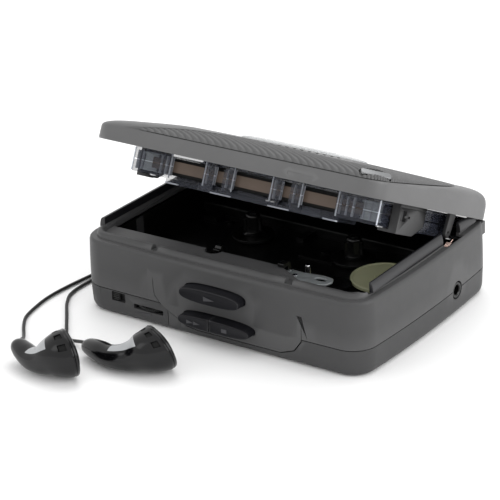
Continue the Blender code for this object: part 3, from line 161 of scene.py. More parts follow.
def make_materials():
    """Every material of the scene, by the key that the shapes use."""
    return {"casing": material("moulded_grey", (0.050, 0.050, 0.051), 0.44, grain=(2600, 0.05), mottle=0.05,
        wear=0.02, Specular_IOR_Level=0.35), "base": material("moulded_dark_grey", (0.045, 0.045, 0.046), 0.46,
        grain=(2600, 0.05), mottle=0.05, wear=0.02, Specular_IOR_Level=0.35),
        "panel": material("switch_panel_grey", (0.038, 0.038, 0.039), 0.5, grain=(1500, 0.06), mottle=0.06,
        Specular_IOR_Level=0.35), "lid": material("lid_grey", (0.105, 0.105, 0.106), 0.42, grain=(2600, 0.05),
        mottle=0.04, wear=0.02, Specular_IOR_Level=0.4), "ribbed": material("ribbed_grey",
        (0.095, 0.095, 0.096), 0.44, grain=(2600, 0.04), mottle=0.05, wear=0.04, Specular_IOR_Level=0.4),
        "well": material("black_plastic", (0.002, 0.002, 0.002), 0.4, grain=(900, 0.08), mottle=0.2,
        Specular_IOR_Level=0.25), "gloss": material("gloss_black", (0.003, 0.003, 0.003), 0.22,
        grain=(500, 0.02), mottle=0.2, Specular_IOR_Level=0.35),
        "rail": material("rail_black", (0.014, 0.014, 0.016), 0.3, grain=(1600, 0.03), mottle=0.1,
        Specular_IOR_Level=0.4), "button": material("button_blue_black", (0.005, 0.005, 0.007), 0.4,
        grain=(2200, 0.04), mottle=0.1, wear=0.03, Specular_IOR_Level=0.25),
        "mark": material("button_mark", (0.045, 0.045, 0.05), 0.5, grain=(2200, 0.02), mottle=0.05),
        "holder": material("holder_grey", (0.040, 0.040, 0.041), 0.5, grain=(1800, 0.05), mottle=0.08,
        Specular_IOR_Level=0.35), "rubber": material("rubber_black", (0.012, 0.012, 0.012), 0.75,
        grain=(1200, 0.06), mottle=0.2), "cord": material("cord_black", (0.005, 0.005, 0.005), 0.45,
        grain=(1400, 0.05), mottle=0.2, Specular_IOR_Level=0.3),
        "bud": material("earbud_black", (0.0025, 0.0025, 0.003), 0.16, grain=(700, 0.015), mottle=0.15,
        Specular_IOR_Level=0.35), "pearl": material("earbud_silver", (0.42, 0.43, 0.44), 0.3, 0.75,
        grain=(1800, 0.02), mottle=0.1), "cream": material("cream_disc", (0.42, 0.43, 0.27), 0.42,
        grain=(900, 0.05), mottle=0.06), "steel": material("polished_steel", (0.66, 0.66, 0.67), 0.18, 1.0,
        grain=(700, 0.02), mottle=0.05), "zinc": material("zinc_plate", (0.66, 0.70, 0.71), 0.32, 0.8,
        grain=(1300, 0.03), mottle=0.06), "brass": material("brass", (0.70, 0.52, 0.26), 0.3, 1.0,
        grain=(900, 0.03), mottle=0.08), "copper": material("pink_copper", (0.83, 0.62, 0.54), 0.25, 1.0,
        grain=(900, 0.02), mottle=0.05), "clear": material("clear_shell", (0.05, 0.055, 0.075), 0.12,
        grain=(260, 0.02), mottle=0.04, Alpha=0.35, IOR=1.5, Specular_IOR_Level=0.25),
        # clear_painted_highlight: pale, half-opaque plastic, painted highlight for the glints on the cassette's
        # clear edges and ribs
        "clear_painted_highlight": material("clear_painted_highlight", (0.80, 0.84, 0.92), 0.2, grain=(600, 0.03), mottle=0.1,
        Alpha=0.75, IOR=1.5), "milky": material("milky_roller", (0.66, 0.72, 0.75), 0.35, grain=(900, 0.03),
        mottle=0.05), "tape": material("magnetic_tape", (0.040, 0.024, 0.019), 0.3, grain=(900, 0.02),
        mottle=0.12, Specular_IOR_Level=0.3), "tape_light": material("tape_face", (0.135, 0.100, 0.078), 0.34,
        grain=(700, 0.03), mottle=0.1, Specular_IOR_Level=0.2),
        "felt": material("felt_pad", (0.50, 0.42, 0.32), 0.9, grain=(3000, 0.2), mottle=0.15),
        "window": material("lid_window", (0.30, 0.32, 0.33), 0.08, grain=(300, 0.01), mottle=0.05, Alpha=0.45,
        IOR=1.5), "chrome": material("silver_trim", (0.26, 0.265, 0.27), 0.38, 1.0, grain=(900, 0.01),
        mottle=0.03), "board": material("circuit_green", (0.03, 0.09, 0.05), 0.4, grain=(900, 0.05),
        mottle=0.2), "cell": material("battery_sleeve", (0.10, 0.10, 0.12), 0.3, 0.3, grain=(900, 0.02),
        # painted_shade: flat matte black, painted shade for holes, vents and the dark gaps inside the lid and
        # the cassette
        mottle=0.08), "painted_shade": material("shade_paint_black", (0.002, 0.002, 0.002), 0.9, grain=(900, 0.02), mottle=0.1),}


# ---------------------------------------------------------------- mesh helpers

def new_object(name, mesh, look):
    obj = bpy.data.objects.new(name, mesh)
    bpy.context.scene.collection.objects.link(obj)
    mesh.materials.append(LOOKS[look])
    return obj


def smooth(obj, angle=32):
    obj.data.shade_smooth()
    obj.data.set_sharp_from_angle(angle=math.radians(angle))
    return obj


def from_bmesh(name, shape, look, angle=32):
    bmesh.ops.scale(shape, vec=(MM, MM, MM), verts=shape.verts)
    bmesh.ops.recalc_face_normals(shape, faces=shape.faces)
    mesh = bpy.data.meshes.new(name)
    shape.to_mesh(mesh)
    shape.free()
    return smooth(new_object(name, mesh, look), angle)


def baked(obj, angle=32):
    """The mesh object with its modifiers applied and its transform moved into its mesh."""
    bpy.context.view_layer.update()
    graph = bpy.context.evaluated_depsgraph_get()
    mesh = bpy.data.meshes.new_from_object(obj.evaluated_get(graph))
    mesh.transform(obj.matrix_world)
    obj.modifiers.clear()
    obj.matrix_world = Matrix.Identity(4)
    old = obj.data
    obj.data = mesh
    bpy.data.meshes.remove(old)
    mesh.name = obj.name
    return smooth(obj, angle)


def bevelled(obj, width, segments=3, angle=32):
    """Rounds the edges sharper than angle by width."""
    edges = obj.modifiers.new("edges", "BEVEL")
    edges.width = width * MM
    edges.segments = segments
    edges.limit_method = "ANGLE"
    edges.angle_limit = math.radians(angle)
    edges.harden_normals = False
    baked(obj, 40)
    obj.modifiers.new("normals", "WEIGHTED_NORMAL").keep_sharp = True
    bpy.context.view_layer.update()
    weighted = bpy.data.meshes.new_from_object(obj.evaluated_get(bpy.context.evaluated_depsgraph_get()))
    obj.modifiers.clear()
    old = obj.data
    obj.data = weighted
    bpy.data.meshes.remove(old)
    weighted.name = obj.name
    return obj


def box(name, low, high, look, bevel=0.0):
    shape = bmesh.new()
    bmesh.ops.create_cube(shape, size=1.0)
    bmesh.ops.scale(shape, vec=[b - a for a, b in zip(low, high)], verts=shape.verts)
    bmesh.ops.translate(shape, vec=[(a + b) / 2 for a, b in zip(low, high)], verts=shape.verts)
    obj = from_bmesh(name, shape, look)
    return bevelled(obj, bevel) if bevel else obj


def loft(name, outlines, look, angle=32, open_ends=False):
    """A skin over outlines of equal length, closed at both ends unless open_ends."""
    shape = bmesh.new()
    rings = [[shape.verts.new(point) for point in outline] for outline in outlines]
    for lower, upper in zip(rings, rings[1:]):
        for i in range(len(lower)):
            j = (i + 1) % len(lower)
            shape.faces.new((lower[i], lower[j], upper[j], upper[i]))
    if not open_ends:
        shape.faces.new(list(reversed(rings[0])))
        shape.faces.new(rings[-1])
    return from_bmesh(name, shape, look, angle)


def turned(name, profile, centre, look, sides=48, axis="Z", angle=32):
    """A profile of (radius, height) pairs turned about an axis through centre."""
    rings = []
    for radius, height in profile:
        ring = []
        for i in range(sides):
            turn = 2 * math.pi * i / sides
            ring.append(Vector((radius * math.cos(turn), radius * math.sin(turn), height)))
        rings.append(ring)
    spin = {"X": Matrix.Rotation(math.pi / 2, 3, "Y"), "Y": Matrix.Rotation(-math.pi / 2, 3, "X"),
        "Z": Matrix.Identity(3)}[axis]
    return loft(name, [[spin @ p + Vector(centre) for p in ring] for ring in rings], look, angle)


def mesh_of(curve_object, stand=None):
    """The curve's own mesh, with its caps welded on; the curve is removed."""
    bpy.context.view_layer.update()
    graph = bpy.context.evaluated_depsgraph_get()
    mesh = bpy.data.meshes.new_from_object(curve_object.evaluated_get(graph))
    curve = curve_object.data
    bpy.data.objects.remove(curve_object)
    bpy.data.curves.remove(curve)
    if stand:
        mesh.transform(stand)
    shape = bmesh.new()
    shape.from_mesh(mesh)
    bmesh.ops.remove_doubles(shape, verts=shape.verts, dist=0.002 * MM)
    bmesh.ops.recalc_face_normals(shape, faces=shape.faces)
    shape.to_mesh(mesh)
    shape.free()
    mesh.materials.clear()
    return mesh


def slab(name, outlines, low, high, look, facing="Z", bevel=0.0, segments=2):
    """An outline of points, and any holes in it, stood up between low and high."""
    if not isinstance(outlines[0], list):
        outlines = [outlines]
    curve = bpy.data.curves.new(name, "CURVE")
    curve.dimensions = "2D"
    curve.fill_mode = "BOTH"
    curve.extrude = (high - low) / 2 * MM - bevel * MM
    curve.bevel_depth = bevel * MM
    curve.offset = -bevel * MM
    curve.bevel_resolution = segments
    for points in outlines:
        spline = curve.splines.new("POLY")
        spline.points.add(len(points) - 1)
        for point, (x, y) in zip(spline.points, points):
            point.co = (x * MM, y * MM, 0, 1)
        spline.use_cyclic_u = True
    obj = bpy.data.objects.new(name + "_curve", curve)
    bpy.context.scene.collection.objects.link(obj)
    middle = (low + high) / 2 * MM
    stand = {"X": Matrix(((0, 0, 1, middle), (1, 0, 0, 0), (0, 1, 0, 0), (0, 0, 0, 1))),
        "Y": Matrix.Translation((0, middle, 0)) @ Matrix.Rotation(math.pi / 2, 4, "X"),
        "Z": Matrix.Translation((0, 0, middle))}[facing]
    mesh = mesh_of(obj, stand)
    mesh.name = name
    return smooth(new_object(name, mesh, look))


def tube(name, points, radius, look, resolution=3):
    curve = bpy.data.curves.new(name, "CURVE")
    curve.dimensions = "3D"
    curve.bevel_depth = radius * MM
    curve.bevel_resolution = resolution
    curve.use_fill_caps = True
    spline = curve.splines.new("POLY")
    spline.points.add(len(points) - 1)
    for point, place in zip(spline.points, points):
        point.co = (*(Vector(place) * MM), 1)
    obj = bpy.data.objects.new(name, curve)
    bpy.context.scene.collection.objects.link(obj)
    curve.materials.append(LOOKS[look])
    return obj


def solid_tube(name, points, radius, look, resolution=3):
    mesh = mesh_of(tube(name + "_line", points, radius, look, resolution))
    mesh.name = name
    return smooth(new_object(name, mesh, look), 50)


def four(a, b, c, d, t):
    """Catmull-Rom value between b and c."""
    return 0.5 * (2 * b + (c - a) * t + (2 * a - 5 * b + 4 * c - d) * t * t + (3 * b - a - 3 * c + d) * t ** 3)


def smooth_route(points, count):
    """count points spread evenly along a smooth curve through the given ones."""
    fine = []
    for i in range(len(points) - 1):
        around = [Vector(points[min(max(k, 0), len(points) - 1)]) for k in range(i - 1, i + 3)]
        fine += [four(*around, step / 12) for step in range(12)]
    fine.append(Vector(points[-1]))
    reach = [0.0]
    for a, b in zip(fine, fine[1:]):
        reach.append(reach[-1] + (b - a).length)
    spread = []
    place = 0
    for i in range(count):
        target = reach[-1] * i / (count - 1)
        while place < len(fine) - 2 and reach[place + 1] < target:
            place += 1
        part = (target - reach[place]) / (reach[place + 1] - reach[place])
        spread.append(fine[place].lerp(fine[place + 1], min(part, 1.0)))
    return spread


def rounded(points, radius, steps=6):
    """The polygon with its corners rounded."""
    out = []
    for i, point in enumerate(points):
        here = Vector(point)
        back = Vector(points[i - 1]) - here
        ahead = Vector(points[(i + 1) % len(points)]) - here
        half = back.angle(ahead) / 2
        reach = min(radius / math.tan(half), back.length * 0.45, ahead.length * 0.45)
        start = here + back.normalized() * reach
        end = here + ahead.normalized() * reach
        for step in range(steps + 1):
            t = step / steps
            out.append(tuple(start * (1 - t) ** 2 + here * 2 * t * (1 - t) + end * t ** 2))
    return out


def rectangle(low, high, radius=0.0, steps=6):
    corners = [(low[0], low[1]), (high[0], low[1]), (high[0], high[1]), (low[0], high[1])]
    return rounded(corners, radius, steps) if radius else corners


def circle(centre, radius, sides=32):
    turns = [2 * math.pi * i / sides for i in range(sides)]
    return [(centre[0] + radius * math.cos(t), centre[1] + radius * math.sin(t)) for t in turns]


def lens(centre_x, centre_z, half_width, half_height, grow=0.0, sides=96):
    """Outline of the long buttons: a flattened superellipse."""
    points = []
    for i in range(sides):
        turn = 2 * math.pi * i / sides
        c, s = math.cos(turn), math.sin(turn)
        x = math.copysign(abs(c) ** 0.72, c) * (half_width + grow)
        z = math.copysign(abs(s) ** 0.72, s) * (half_height + grow)
        points.append((centre_x + x, centre_z + z))
    return points


def body_outline(inset, height, corner_steps=16, side_steps=24):
    """The body's outline, drawn in by inset, at this height: round corners and bowed sides."""
    radius = max(CORNER - inset, 2.0)
    half_x = HALF_LENGTH - END_BULGE - inset
    half_y = HALF_DEPTH - LONG_BULGE - inset
    points = []
    for quarter, (sx, sy) in enumerate([(-1, -1), (1, -1), (1, 1), (-1, 1)]):
        centre = (sx * (half_x - radius), sy * (half_y - radius))
        start = math.pi + quarter * math.pi / 2
        for i in range(corner_steps + 1):
            turn = start + i * math.pi / 2 / corner_steps
            points.append((centre[0] + radius * math.cos(turn), centre[1] + radius * math.sin(turn), height))
        along_x = quarter % 2 == 0
        reach = 2 * ((half_x if along_x else half_y) - radius)
        bow = LONG_BULGE if along_x else END_BULGE
        outward = [(0, -1), (1, 0), (0, 1), (-1, 0)][quarter]
        onward = [(1, 0), (0, 1), (-1, 0), (0, -1)][quarter]
        x0, y0 = points[-1][:2]
        for i in range(1, side_steps):
            t = i / side_steps
            lift = bow * 4 * t * (1 - t)
            points.append((x0 + onward[0] * reach * t + outward[0] * lift,
                y0 + onward[1] * reach * t + outward[1] * lift, height))
    return points


def operate(target, cutters, operation):
    for other in cutters:
        step = target.modifiers.new(other.name, "BOOLEAN")
        step.operation = operation
        step.object = other
        step.solver = "EXACT"
    bpy.context.view_layer.update()
    baked(target)
    for other in cutters:
        bpy.data.objects.remove(other)
    return target


def cut(target, *cutters):
    return operate(target, cutters, "DIFFERENCE")


def join(target, *others):
    return operate(target, others, "UNION")


def common(target, other):
    return operate(target, [other], "INTERSECT")


def opening_matrix():
    """The lid's swing from closed to the stored pose."""
    axis = Vector((0, HINGE[0], HINGE[1])) * MM
    return Matrix.Translation(axis) @ Matrix.Rotation(-math.radians(LID_ANGLE), 4,
        "X") @ Matrix.Translation(-axis)


def piece(obj, body, slot, *nodes):
    """Lets a finished piece ride on its body and names the CAD nodes it stands for; slot is not used."""
    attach(obj, body)
    if nodes:
        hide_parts(*nodes)
    return obj


def on_lid(obj, body, slot, *nodes):
    """A piece modelled with the lid closed, swung open with the lid."""
    obj.data.transform(opening_matrix())
    return piece(obj, body, slot, *nodes)


def paint(node, look):
    """Gives a CAD node that stays visible its finished material."""
    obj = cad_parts[node]
    obj.data.materials.clear()
    obj.data.materials.append(LOOKS[look])
    smooth(obj, 30)
    return obj


LOOKS = make_materials()
add_camera()


# ---------------------------------------------------------------- earphones

LEAD_RADIUS = 0.6
MAIN_LEAD_RADIUS = 0.9
COIL_CENTRE = (-26.0, 66.0)
COIL_LAYERS = [(12.7, 10.85, 9.0, 7.15), (8.05, 9.9, 11.75), (12.7, 10.85, 9.0, 7.15), (8.05, 9.9, 11.75)]
COIL_STEP = 1.57
PLUG_START = (-6.0, 60.0, 3.3)
LEFT_BUD = [(-50.2, -86.9, 6.2, 2.3), (-48.4, -87.7, 5.9, 3.2), (-44.8, -89.2, 5.2, 3.8),
    (-40.6, -90.6, 4.6, 4.1), (-36.8, -90.8, 5.2, 4.8), (-33.3, -90.2, 6.8, 6.4), (-30.4, -89.4, 7.9, 7.6),
    (-28.3, -88.1, 8.4, 8.2)]
RIGHT_BUD = [(-32.8, -71.4, 3.4, 2.3), (-30.7, -72.4, 3.7, 3.2), (-25.6, -74.0, 4.1, 3.8),
    (-20.5, -75.2, 4.2, 3.9), (-15.8, -75.1, 4.8, 4.4), (-11.9, -73.8, 5.7, 5.2), (-8.6, -72.6, 7.0, 6.7),
    (-6.3, -71.2, 7.6, 7.6), (-4.7, -69.5, 8.1, 8.2)]
LEFT_ROUTE = [(-51.9, -84.2, 5.4), (-53.6, -80.6, 4.4), (-56.6, -76.4, 2.2), (-60.6, -71.6, 0.8),
    (-65.0, -66.4, 0.6), (-68.9, -60.4, 0.6), (-71.2, -51.9, 0.6), (-72.4, -43.3, 0.6), (-72.0, -32.9, 0.6),
    (-70.6, -20.0, 0.6), (-69.4, -4.0, 0.6), (-69.0, 14.0, 0.6), (-69.0, 32.0, 0.6), (-67.6, 47.0, 0.6),
    (-62.4, 58.5, 0.6), (-54.0, 65.2, 0.6), (-48.2, 67.2, 0.6)]
RIGHT_ROUTE = [(-35.6, -69.9, 3.0), (-38.8, -68.6, 2.0), (-42.6, -67.6, 0.9), (-46.6, -65.6, 0.6),
    (-51.0, -60.4, 0.6), (-57.5, -52.2, 0.6), (-63.8, -44.2, 0.6), (-67.6, -36.4, 0.6), (-68.0, -24.0, 0.6),
    (-66.4, -8.0, 0.6), (-65.8, 10.0, 0.6), (-65.8, 28.0, 0.6), (-65.0, 42.0, 0.6), (-60.8, 53.6, 0.6),
    (-53.4, 61.6, 0.6), (-48.2, 64.6, 0.6)]


def coil_points():
    """The main lead: from the splitter into a coil of nested layers, over its top turn and out to the plug."""
    cx, cy = COIL_CENTRE
    floor = MAIN_LEAD_RADIUS + 0.05
    turns = [(radius, layer) for layer, radii in enumerate(COIL_LAYERS) for radius in radii]
    points = [(-41.3, 65.9, 1.35), (-40.2, 65.3, 1.2)]
    per_turn = 36
    for index, (radius, layer) in enumerate(turns):
        after, above = turns[index + 1] if index + 1 < len(turns) else turns[index]
        for i in range(per_turn):
            turn = math.pi + 2 * math.pi * (i + 5 * layer) / per_turn
            share = max(i - (per_turn - 6), 0) / 6
            ease = share * share * (3 - 2 * share)
            hop = 0.3 * math.sin(math.pi * ease) if layer else 0.0
            reach = radius + (after - radius) * ease
            height = floor + (layer + (above - layer) * ease) * COIL_STEP + hop
            points.append((cx + reach * math.cos(turn), cy + reach * math.sin(turn), height))
        if above != layer:
            for i in range(1, 5):
                turn = math.pi + 2 * math.pi * (5 * layer + i) / per_turn
                points.append((cx + after * math.cos(turn), cy + after * math.sin(turn),
                    floor + above * COIL_STEP))
    radius, layer = turns[-1]
    start = 180 + 50 * layer
    for degrees in range(start, 285 + 360, 10):
        turn = math.radians(degrees)
        points.append((cx + radius * math.cos(turn), cy + radius * math.sin(turn), floor + layer * COIL_STEP))
    return points + [(-19.6, 55.6, 5.85), (-17.2, 56.4, 5.9), (-14.8, 57.4, 5.6), (-12.2, 58.4, 4.9),
        (-9.0, 59.5, 3.8), (-7.2, 59.9, 3.36), PLUG_START]


def earbud(name, sections, facing):
    """Glossy body along a bent spine, with a silvery neck, vents and a stepped rim; grille() adds the rims on
    its front.
    """
    facing = Vector(facing).normalized()
    fine = []
    last = len(sections) - 1
    for i in range(last):
        around = [sections[max(i - 1, 0)], sections[i], sections[i + 1], sections[min(i + 2, last)]]
        fine += [tuple(four(*(s[k] for s in around), step / 6) for k in range(4)) for step in range(6)]
    fine.append(sections[-1])
    end = len(fine) - 1
    rim = sections[-1][3]
    spine = [Vector(s[:3]) for s in [fine[0]] * 2 + fine]
    radii = [0.3, 1.6] + [s[3] for s in fine]
    for onward, radius in ((0.35, rim), (0.5, rim - 0.25), (0.75, rim - 0.3), (1.0, rim), (1.5, rim),
            (1.9, rim - 0.25), (2.1, rim - 0.8), (2.2, rim - 1.5), (2.75, rim - 2.6), (2.95, rim - 4.4),
            (3.0, 1.2)):
        spine.append(Vector(fine[-1][:3]) + facing * onward)
        radii.append(radius)
    sides = 64
    shape = bmesh.new()
    rings = []
    first = 2
    for i, centre in enumerate(spine):
        at = min(max(i - first, 0), end)
        ahead = Vector(fine[min(at + 1, end)][:3]) - Vector(fine[max(at - 1, 0)][:3])
        blend = min(max((at - end + 22) / 22, 0.0), 1.0)
        normal = (ahead.normalized() * (1 - blend) + facing * blend).normalized()
        side = normal.cross(Vector((0, 0, 1))).normalized()
        up = side.cross(normal)
        share = min(at / (end * 0.6), 1.0)
        squash = 0.84 + 0.16 * share
        ring = []
        for k in range(sides):
            turn = 2 * math.pi * k / sides
            ring.append(shape.verts.new(centre + side * math.cos(turn) * radii[i]
                + up * math.sin(turn) * radii[i] * squash))
        rings.append(ring)
    quads = {}
    for r, (lower, upper) in enumerate(zip(rings, rings[1:])):
        for k in range(sides):
            j = (k + 1) % sides
            quads[r, k] = shape.faces.new((lower[k], lower[j], upper[j], upper[k]))
    shape.faces.new(list(reversed(rings[0])))
    shape.faces.new(rings[-1])
    bmesh.ops.recalc_face_normals(shape, faces=shape.faces)
    silver = range(first + int(end * 0.42), first + int(end * 0.74))
    for r in silver:
        for k in range(sides):
            if 9 <= k <= 23 - abs(r - silver[0]) // 6:
                quads[r, k].material_index = 1
    # Vents: the inset hollows take the painted shade black, as shade inside the holes.
    vent_rows = range(first + end - 6, first + end - 2)
    for start in (6, 12, 18):
        faces = [quads[r, k] for r in vent_rows for k in range(start, start + 3)]
        bmesh.ops.inset_region(shape, faces=faces, thickness=0.12, depth=-0.5, use_even_offset=True)
        for face in faces:
            face.material_index = 2
    bud = from_bmesh(name, shape, "bud", 40)
    for look in ("pearl", "painted_shade"):
        bud.data.materials.append(LOOKS[look])
    return bud


def grille(name, sections, facing):
    """Rings of small holes' rims on the speaker's front."""
    facing = Vector(facing).normalized()
    side = facing.cross(Vector((0, 0, 1))).normalized()
    up = side.cross(facing)
    shape = bmesh.new()
    centre = Vector(sections[-1][:3]) + facing * 2.98
    stand = Matrix((side, up, facing)).transposed().to_4x4()
    for radius, count in ((0.0, 1), (1.3, 6), (2.6, 12), (3.9, 18)):
        for i in range(count):
            turn = 2 * math.pi * i / count
            place = (centre + side * math.cos(turn) * radius + up * math.sin(turn) * radius
                - facing * radius * 0.02)
            bmesh.ops.create_cone(shape, cap_ends=True, segments=12, radius1=0.42, radius2=0.3, depth=0.14,
                matrix=Matrix.Translation(place) @ stand)
    return from_bmesh(name, shape, "steel", 40)


def earphones():
    """The two earbuds with their leads, the coil, the main lead and the plug."""
    lead_pieces = []
    left_facing, right_facing = (0.53, 0.84, 0.12), (0.38, 0.86, 0.34)
    for side, sections, facing in (("left", LEFT_BUD, left_facing), ("right", RIGHT_BUD, right_facing)):
        bud = piece(earbud(side + "_earbud_shell", sections, facing), "casing", "black_plastic",
            side + "_earbud")
        front = piece(grille(side + "_earbud_grille", sections, facing), "casing", "steel")
        lead_pieces.append((bud, front))
    x0, y0, z0, x1, y1, z1 = -47.9, 63.6, 0.15, -41.2, 68.2, 2.6
    outline = rounded([(x0, y0), (x1, y0 + 1.2), (x1, y1 - 1.2), (x0, y1)], 1.0)
    splitter = slab("lead_splitter_shell", outline, z0, z1, "rubber", bevel=0.4)
    piece(splitter, "casing", "rubber", "lead_splitter")
    plug = turned("plug_grip", [(0.95, 0.0), (1.3, 0.3), (2.1, 1.2), (2.5, 3.0), (3.0, 4.0),
        (3.2, 5.0)] + [(3.2 - 0.22 * (i % 2), 6.0 + i * 0.7) for i in range(12)] + [(3.2, 15.2), (3.2, 17.4),
        (2.7, 18.0), (1.0, 18.0)], PLUG_START, "rubber", 48, "X", 25)
    pin = turned("plug_pin", [(0.6, 17.6), (1.75, 18.1), (1.75, 23.0), (1.6, 23.1), (1.6, 23.6), (1.75, 23.7),
        (1.75, 26.4), (1.6, 26.5), (1.6, 27.0), (1.75, 27.1), (1.75, 28.6), (1.2, 29.6), (1.3, 30.2),
        (1.75, 31.0), (1.3, 31.8), (0.5, 32.4)], PLUG_START, "steel", 36, "X", 25)
    piece(plug, "casing", "rubber", "headphone_plug")
    piece(pin, "casing", "steel")
    tie_centre = Vector((COIL_CENTRE[0], COIL_CENTRE[1] + 10.0, 3.35))
    loop = [tie_centre + Vector((0, 3.75 * math.copysign(abs(math.cos(t)) ** 0.6, math.cos(t)),
        3.3 * math.copysign(abs(math.sin(t)) ** 0.6,
        math.sin(t)))) for t in [2 * math.pi * i / 40 for i in range(40)]]
    tie = loft("lead_tie", [[p + Vector((dx, 0, 0)) for p in loop] for dx in (-1.5, 1.5)], "rubber",
        open_ends=True)
    thick = tie.modifiers.new("thickness", "SOLIDIFY")
    thick.thickness = 0.25 * MM
    thick.offset = -1
    baked(tie)
    piece(tie, "casing", "rubber")
    main_points = coil_points()
    main = tube("main_lead", main_points, MAIN_LEAD_RADIUS, "cord")
    piece(main, "casing", "rubber", "lead_coil")
    for side, route, count, pieces_on in (("left", LEFT_ROUTE, 64, lead_pieces[0]),
            ("right", RIGHT_ROUTE, 62, lead_pieces[1])):
        points = smooth_route(route, count)[::-1]
        lead = tube(side + "_bud_lead", points, LEAD_RADIUS, "cord")
        piece(lead, "casing", "rubber", side + "_lead")


# ---------------------------------------------------------------- stage

def add_stage():
    floor = bpy.data.objects.new("floor", bpy.data.meshes.new("floor"))
    bpy.context.scene.collection.objects.link(floor)
    shape = bmesh.new()
    bmesh.ops.create_grid(shape, x_segments=2, y_segments=2, size=6.0)
    shape.to_mesh(floor.data)
    shape.free()
    floor.location.z = -0.0002
    paper = bpy.data.materials.new("pale_floor")
    paper.use_nodes = True
    paper.node_tree.nodes["Principled BSDF"].inputs["Base Color"].default_value = (0.97, 0.97, 0.97, 1)
    paper.node_tree.nodes["Principled BSDF"].inputs["Roughness"].default_value = 0.9
    paper.node_tree.nodes["Principled BSDF"].inputs["Specular IOR Level"].default_value = 0.0
    floor.data.materials.append(paper)
    world = bpy.data.worlds.new("studio")
    world.use_nodes = True
    world.node_tree.nodes["Background"].inputs["Color"].default_value = (1, 1, 1, 1)
    world.node_tree.nodes["Background"].inputs["Strength"].default_value = 1.0
    bpy.context.scene.world = world
    for name, place, size, power in (("top_softbox", (-0.1, 0.35, 0.9), 0.8, 3.0),
            ("right_softbox", (0.9, 0.15, 0.4), 0.6, 3.6), ("front_softbox", (-0.5, -0.9, 0.6), 0.4, 0.6)):
        data = bpy.data.lights.new(name, "AREA")
        data.shape = "SQUARE"
        data.size = size
        data.energy = power
        lamp = bpy.data.objects.new(name, data)
        bpy.context.scene.collection.objects.link(lamp)
        lamp.location = place
        lamp.rotation_euler = (Vector((0, 0, 0.02)) - Vector(place)).to_track_quat("-Z", "Y").to_euler()
    bpy.context.scene.view_settings.view_transform = "Standard"


# ---------------------------------------------------------------- casing

BODY_LEVELS = [(2.6, 0.0), (1.9, 0.18), (1.3, 0.5), (0.85, 0.95), (0.6, 1.5), (0.38, 2.2), (0.25, 3.0),
    (0.0, 9.2), (0.0, 10.2), (0.1, 18.0), (0.25, 22.0), (0.4, 25.2), (0.6, 25.9), (1.0, 26.35), (1.4, 26.45),
    (3.0, 26.5), (3.1, 27.2), (3.35, 27.8), (3.8, 28.25), (4.6, 28.5), (5.4, 28.25), (5.85, 27.8), (6.1, 27.0)]
WELL = [(-52.5, -29.9), (17.5, -29.0), (29.9, -36.3), (54.2, -36.3), (54.2, 41.2), (-53.9, 41.2), (-53.9, 20.0),
    (-52.5, 19.0)]
TONGUE = [(-26.0, 18.0), (-25.4, 12.0), (-23.6, 9.8), (-20.6, 7.8), (-16.0, 5.4), (-12.5, 3.6), (-8.0, 3.0),
    (25.5, 3.0), (31.0, 5.0), (34.0, 9.0), (34.3, 18.0)]
PLAY = (0.0, 18.0, 12.2, 2.6)
LOWER = (1.2, 7.85, 14.5, 2.35)
DIVIDE = -0.4
JACK = (16.7, 9.2)
SWITCH = (-41.6, 7.3, 5.8, 3.4)
WHEEL = (-28.75, 10.0, 4.95, 1.2)
SCREWS = [(-50.0, -36.0), (50.0, -36.0), (0.0, 19.0)]
DOOR_HALF = 52.7
DOOR_FRONT = 23.3
FRONT = -HALF_DEPTH


def body_form(name, look):
    return loft(name, [body_outline(inset, height) for inset, height in BODY_LEVELS], look)


def rod(name, place, radius, low, high, look="painted_shade", sides=40, axis="Z"):
    centre = {"X": (0, *place), "Y": (place[0], 0, place[1]), "Z": (*place, 0)}[axis]
    return turned(name, [(radius, low), (radius, high)], centre, look, sides, axis)


def tongue_block(name, grow):
    points = [(x + math.copysign(grow, x), z - (grow if z < SPLIT else 0)) for x, z in TONGUE]
    return slab(name, rounded(points, 0.8), FRONT - 2, FRONT + 8, "casing", facing="Y")


def button_holes(prefix):
    return [slab(prefix + "_play_hole", lens(*PLAY, grow=0.3), FRONT - 2, FRONT + 6, "casing", facing="Y"),
        slab(prefix + "_lower_hole", lens(*LOWER, grow=0.3), FRONT - 2, FRONT + 6, "casing", facing="Y")]


def groove(name, points, depth_to, half=0.14, facing="Y", behind=-2.0):
    """Cutter for a thin line along points on a face."""
    left, right = [], []
    for i, point in enumerate(points):
        ahead = Vector(points[min(i + 1, len(points) - 1)]) - Vector(points[max(i - 1, 0)])
        across = Vector((-ahead.y, ahead.x)).normalized() * half
        left.append(tuple(Vector(point) + across))
        right.append(tuple(Vector(point) - across))
    low, high = sorted((depth_to, depth_to + behind))
    return slab(name, left + right[::-1], low, high, "casing", facing=facing)


